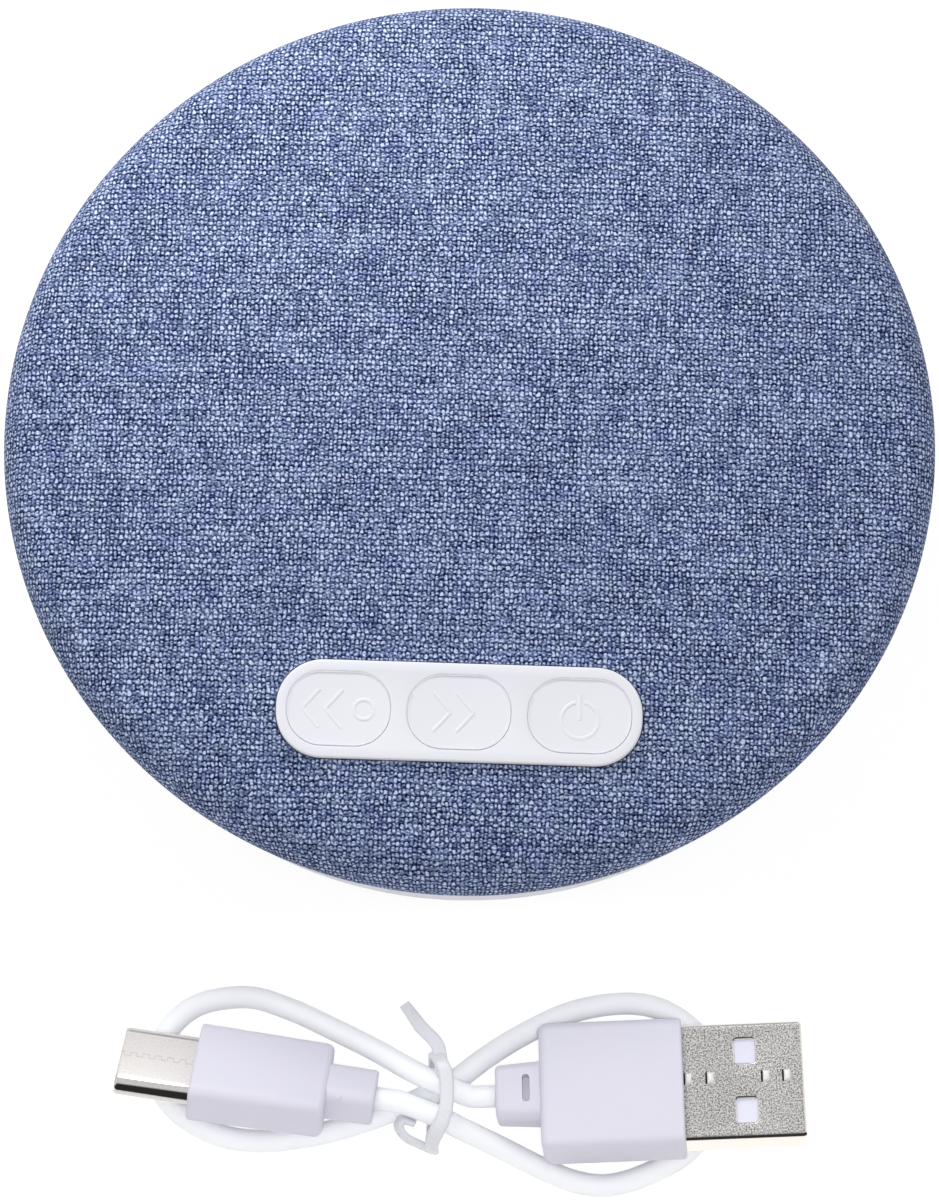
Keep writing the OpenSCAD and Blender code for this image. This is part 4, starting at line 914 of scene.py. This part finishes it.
for piece in (grip_a, relief_a, grip_c, relief_c):
    dress(piece, GRIP_PLASTIC)


TIP = 0.3  # length of a shell's rounded tip


def tip_rings(x1, w, t, r, wall, deep):
    """Closed rings over a shell's open end: round its lip and back along the inside."""
    steps = [(x1 - TIP, 0.0), (x1 - 0.1, 0.05), (x1, 0.13), (x1, wall - 0.08), (x1 - 0.12, wall),
             (x1 - deep, wall)]
    return [[(x, y, z) for y, z in inset_outline(w, t, r, inset, PLUG_CORNER)] for x, inset in steps]


WINDOW, WINDOW_X, WINDOW_Y = (2.6, 3.0, 0.6), 6.2, 3.05
TAB_PLACES = [SHELL_A_X + x for x in (0.15, 2.35, 7.9, 10.0)]
TAB_LOW, TAB_HIGH = -0.25, 0.95
TAB_FOOT, TAB_LIFT, TAB_MIDDLE, TAB_HALF = 2.24, 0.2, 0.35, 0.33
SLIT_FLOOR, SLIT_TOP = 2.1, 2.256


def make_shell_a():
    x0, x1, w, t, r, wall = SHELL_A_X, SHELL_A_END, SHELL_A_W, SHELL_A_T, 0.5, 0.3
    flat = w / 2 - r
    hole, places = WINDOW, ((x0 + WINDOW_X, WINDOW_Y), (x0 + WINDOW_X, -WINDOW_Y))
    outer = [(x0, -flat), (x1 - TIP, -flat), (x1 - TIP, flat), (x0, flat)]
    holes = [[(px + x, py + y) for px, py in outline(*hole, HOLE_CORNER)] for x, y in places]
    plate, faces = flat_region(outer, holes)
    points = [(p.x, p.y, t / 2) for p in plate]
    n = len(holes[0])
    for i, (x, y) in enumerate(places):
        before = len(outer) + i * n
        for inset, z in ((0.1, -0.015), (0.19, -0.055), (0.25, -0.13), (0.25, -wall)):
            first = len(points)
            points += [(px + x, py + y, t / 2 + z) for px, py in inset_outline(*hole, inset, HOLE_CORNER)]
            bridge(faces, before, first, n)
            before = first
    ring = outline(w, t, r, PLUG_CORNER)
    half = len(ring) // 2
    around = ring[half:] + ring[:half]
    first = len(points)
    for x in (x0, x1 - TIP):
        points += [(x, y, z) for y, z in around]
    m = len(around)
    faces += [(first + k, first + k + 1, first + m + k + 1, first + m + k) for k in range(m - 1)]
    add_form(points, faces, loft(tip_rings(x1, w, t, r, wall, deep=2.5), caps=False))
    return plug_object("usb_a_shell_skin", points, faces, AT_A, sharp=40)


def make_slits_a():
    """Dark blocks in the slits beside the tabs on the shell's face: painted shadow in the openings."""
    points, faces = [], []
    for x in TAB_PLACES:
        left, right = x - 0.17, x + 0.02
        corners = ((left, TAB_LOW), (right, TAB_LOW), (right, TAB_HIGH), (left, TAB_HIGH))
        add_form(points, faces, loft([[(cx, cy, z) for cx, cy in corners] for z in (SLIT_FLOOR, SLIT_TOP)]))
    return plug_object("usb_a_slits_skin", points, faces, AT_A)


def make_tabs_a():
    """Four rounded tabs that stand up beside the seam."""
    points, faces, n = [], [], 9
    for x in TAB_PLACES:
        first = len(points)
        for j in range(n):
            y = TAB_LOW + (TAB_HIGH - TAB_LOW) * j / (n - 1)
            lift = TAB_LIFT * (1 - (2 * j / (n - 1) - 1) ** 4)
            for k in range(n):
                a = math.pi * k / (n - 1)
                points.append((x + TAB_MIDDLE - TAB_HALF * math.cos(a), y, TAB_FOOT + lift * math.sin(a)))
        for j in range(n - 1):
            for k in range(n - 1):
                a = first + j * n + k
                faces.append((a, a + 1, a + n + 1, a + n))
    return plug_object("usb_a_tabs_skin", points, faces, AT_A)


shell_a = dress(make_shell_a(), SHELL_A_METAL)
slits_a = dress(make_slits_a(), SLIT_SHADOW)
tabs_a = dress(make_tabs_a(), TAB_STEEL_LIT)


def make_shell_c():
    x0, x1, w, t, r = SHELL_C_X, SHELL_C_END, SHELL_C_W, SHELL_C_T, 1.19
    start = [[(x0, y, z) for y, z in outline(w, t, r, PLUG_CORNER)]]
    points, faces = loft(start + tip_rings(x1, w, t, r, wall=0.3, deep=6.0), caps=False)
    return plug_object("usb_c_shell_skin", points, faces, AT_C, sharp=40)


shell_c = dress(make_shell_c(), SHELL_C_METAL)

dress(lead, CORD_PLASTIC)
dress(tie, TIE_PLASTIC)


# What rides on what

def ring_sectors(node, material, count=12):
    """A soft ring of the driver between the case and the cone, cut into sectors along radii."""
    low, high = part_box(node)
    centre = (low + high) / 2
    half = math.pi / count
    for i in range(count):
        bm = bmesh.new()
        bm.from_mesh(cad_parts[node].data)
        for side in (-1, 1):
            turn = (2 * i + side) * half
            normal = (-side * math.sin(turn), side * math.cos(turn), 0)
            cut = bmesh.ops.bisect_plane(bm, geom=[*bm.verts, *bm.edges, *bm.faces], plane_co=centre,
                                         plane_no=normal, clear_outer=True)
            edges = [e for e in cut["geom_cut"] if isinstance(e, bmesh.types.BMEdge)]
            bmesh.ops.triangle_fill(bm, edges=edges)
        mesh = bpy.data.meshes.new(f"{node}_sector_{i + 1}")
        bm.to_mesh(mesh)
        bm.free()
        mesh.shade_smooth()
        mesh.set_sharp_from_angle(angle=math.radians(40))
        sector = bpy.data.objects.new(mesh.name, mesh)
        scene.collection.objects.link(sector)
        dress(sector, material)
        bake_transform(sector)
        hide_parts(node)


def stands_for(piece, body, slot, *names):
    """Has a piece ride on a body, in the place of these CAD nodes if any are named."""
    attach(piece, body)
    if names:
        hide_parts(*names)


stands_for(cover, "case", "blue_cover", "fabric_cover")
stands_for(panel, "case", "white_panel", "control_panel")
for name, piece in buttons.items():
    stands_for(piece, name + "_key", "white_panel", name + "_button")
for piece, slot, *names in (
        (lead, "white_cord", "lead_cord"), (tie, "white_tie", "lead_tie"),
        (grip_a, "white_grip", "usb_a_grip"), (relief_a, "white_grip"),
        (grip_c, "white_grip", "usb_c_grip"), (relief_c, "white_grip"),
        (shell_a, "plug_shell", "usb_a_shell"), (slits_a, "plug_shell"), (tabs_a, "plug_shell"),
        (shell_c, "plug_shell", "usb_c_shell")):
    stands_for(piece, "charging_lead", slot, *names)

# CAD nodes that keep their own meshes
CARRIED = {
    CASE_PLASTIC: ["base_shell", "top_shell"],
    FOOT_RUBBER: ["foot_1", "foot_2", "foot_3", "foot_4"],
    SCREW_STEEL: ["case_screw_1", "case_screw_2", "case_screw_3", "case_screw_4", "switch_board_screws",
                  "driver_screws", "main_board_screws"],
    DARK_PLASTIC: ["back_plunger", "next_plunger", "power_plunger", "driver_basket", "audio_chip",
                   "amplifier_chip", "usb_socket_tongue", "usb_c_insert"],
    SWITCH_STEEL: ["back_switch", "next_switch", "power_switch"],
    BOARD: ["switch_board", "main_board"],
    GASKET_FOAM: ["driver_gasket"],
    YOKE_STEEL: ["driver_yoke", "driver_pole_plate"],
    MAGNET_NICKEL: ["driver_magnet"],
    COIL_WIRE: ["voice_coil"],
    CONE_PAPER: ["driver_cone", "dust_cap"],
    TAN_PLASTIC: ["driver_terminals"],
    RED_WIRE: ["driver_lead_red", "battery_lead_red"],
    BLACK_WIRE: ["driver_lead_black", "battery_lead_black"],
    FERRITE: ["charge_coil"],
    CREAM_PLASTIC: ["board_plugs"],
    SOCKET_STEEL: ["usb_socket"],
    CELL_FOIL: ["battery_cell"],
    TAPE_FOAM: ["battery_tape"],
    INSULATOR_PLASTIC: ["usb_a_insulator"],
    CONTACT_GOLD: ["usb_a_contacts"]}
for material, names in CARRIED.items():
    for name in names:
        dress(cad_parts[name], material)

ring_sectors("driver_surround", BLACK_RUBBER)
ring_sectors("driver_spider", SPIDER_CLOTH)


# Floor, light and world

ROOM_LIGHT, DARK_SIDE = 0.65, (0.3, -0.95, 0.0)
ROOM_WHITE, PAPER_WHITE = (0.98, 0.985, 1.0, 1), (0.94, 0.94, 0.95, 1)
MIRROR_BRIGHT, MIRROR_DARK, DARK_FROM, DARK_TO = 0.9, 0.03, 0.06, 0.28
FLOOR_GLOW, FLOOR_CATCH, FLOOR_HALF = 0.88, 0.2, 4000


def make_floor():
    """White paper that keeps the shadows; camera and mirror rays see it lit from within."""
    corners = [(x * FLOOR_HALF, y * FLOOR_HALF, 0) for x, y in ((-1, -1), (1, -1), (1, 1), (-1, 1))]
    made = mesh_object("floor", corners, [(0, 1, 2, 3)])
    g = material_graph("floor_paper")
    g.tree.nodes.remove(g.shader)
    paths = g.node("LightPath").outputs
    mirrored = g.math("MAXIMUM", paths["Is Glossy Ray"], paths["Is Transmission Ray"])
    seen = g.math("MAXIMUM", paths["Is Camera Ray"], mirrored)
    paper = g.node("BsdfDiffuse", PAPER_WHITE).outputs[0]
    faint = g.node("BsdfDiffuse", (FLOOR_CATCH, FLOOR_CATCH, FLOOR_CATCH, 1)).outputs[0]
    glow = g.node("Emission", (1, 1, 1, 1), FLOOR_GLOW).outputs[0]
    white = g.node("AddShader", faint, glow).outputs[0]
    both = g.node("MixShader", seen, paper, white).outputs[0]
    g.put(g.tree.nodes["Material Output"].inputs[0], both)
    dress(made, g.owner)


def make_lamp(name, at, aim, size, depth, watts, spread, mirrored):
    data = bpy.data.lights.new(name, "AREA")
    data.shape, data.size, data.size_y = "ELLIPSE", size * MM, depth * MM
    data.energy, data.spread = watts, math.radians(spread)
    lamp = bpy.data.objects.new(name, data)
    scene.collection.objects.link(lamp)
    lamp.location = Vector(at) * MM
    lamp.visible_camera, lamp.visible_glossy = False, mirrored
    lamp.rotation_mode = "QUATERNION"
    lamp.rotation_quaternion = (Vector(aim) - Vector(at)).to_track_quat("-Z", "Y")


def make_world():
    """A white room, of which reflections see the part behind the camera as dark."""
    scene.world = bpy.data.worlds.new("studio")
    g = Graph(scene.world)

    def background(strength):
        return g.node("Background", ROOM_WHITE, strength).outputs[0]

    paths = g.node("LightPath").outputs
    view = g.node("TexCoord").outputs["Generated"]
    toward = g.node("VectorMath", view, DARK_SIDE, operation="DOT_PRODUCT").outputs["Value"]
    mirrored = background(g.ramp(toward, DARK_FROM, DARK_TO, MIRROR_BRIGHT, MIRROR_DARK))
    lit = g.node("MixShader", paths["Is Glossy Ray"], background(ROOM_LIGHT), mirrored).outputs[0]
    seen = g.math("MAXIMUM", paths["Is Camera Ray"], paths["Is Transmission Ray"])
    both = g.node("MixShader", seen, lit, background(1.0)).outputs[0]
    g.put(g.tree.nodes["World Output"].inputs[0], both)


make_floor()
make_lamp("key", (-52, 101, 121), (0, 0, 21), size=80, depth=80, watts=0.14, spread=180, mirrored=True)
make_lamp("fill", (5, -105, 170), (1, -73, 0), size=120, depth=46, watts=0.0052, spread=5, mirrored=False)
make_world()
scene.view_settings.view_transform = "Standard"
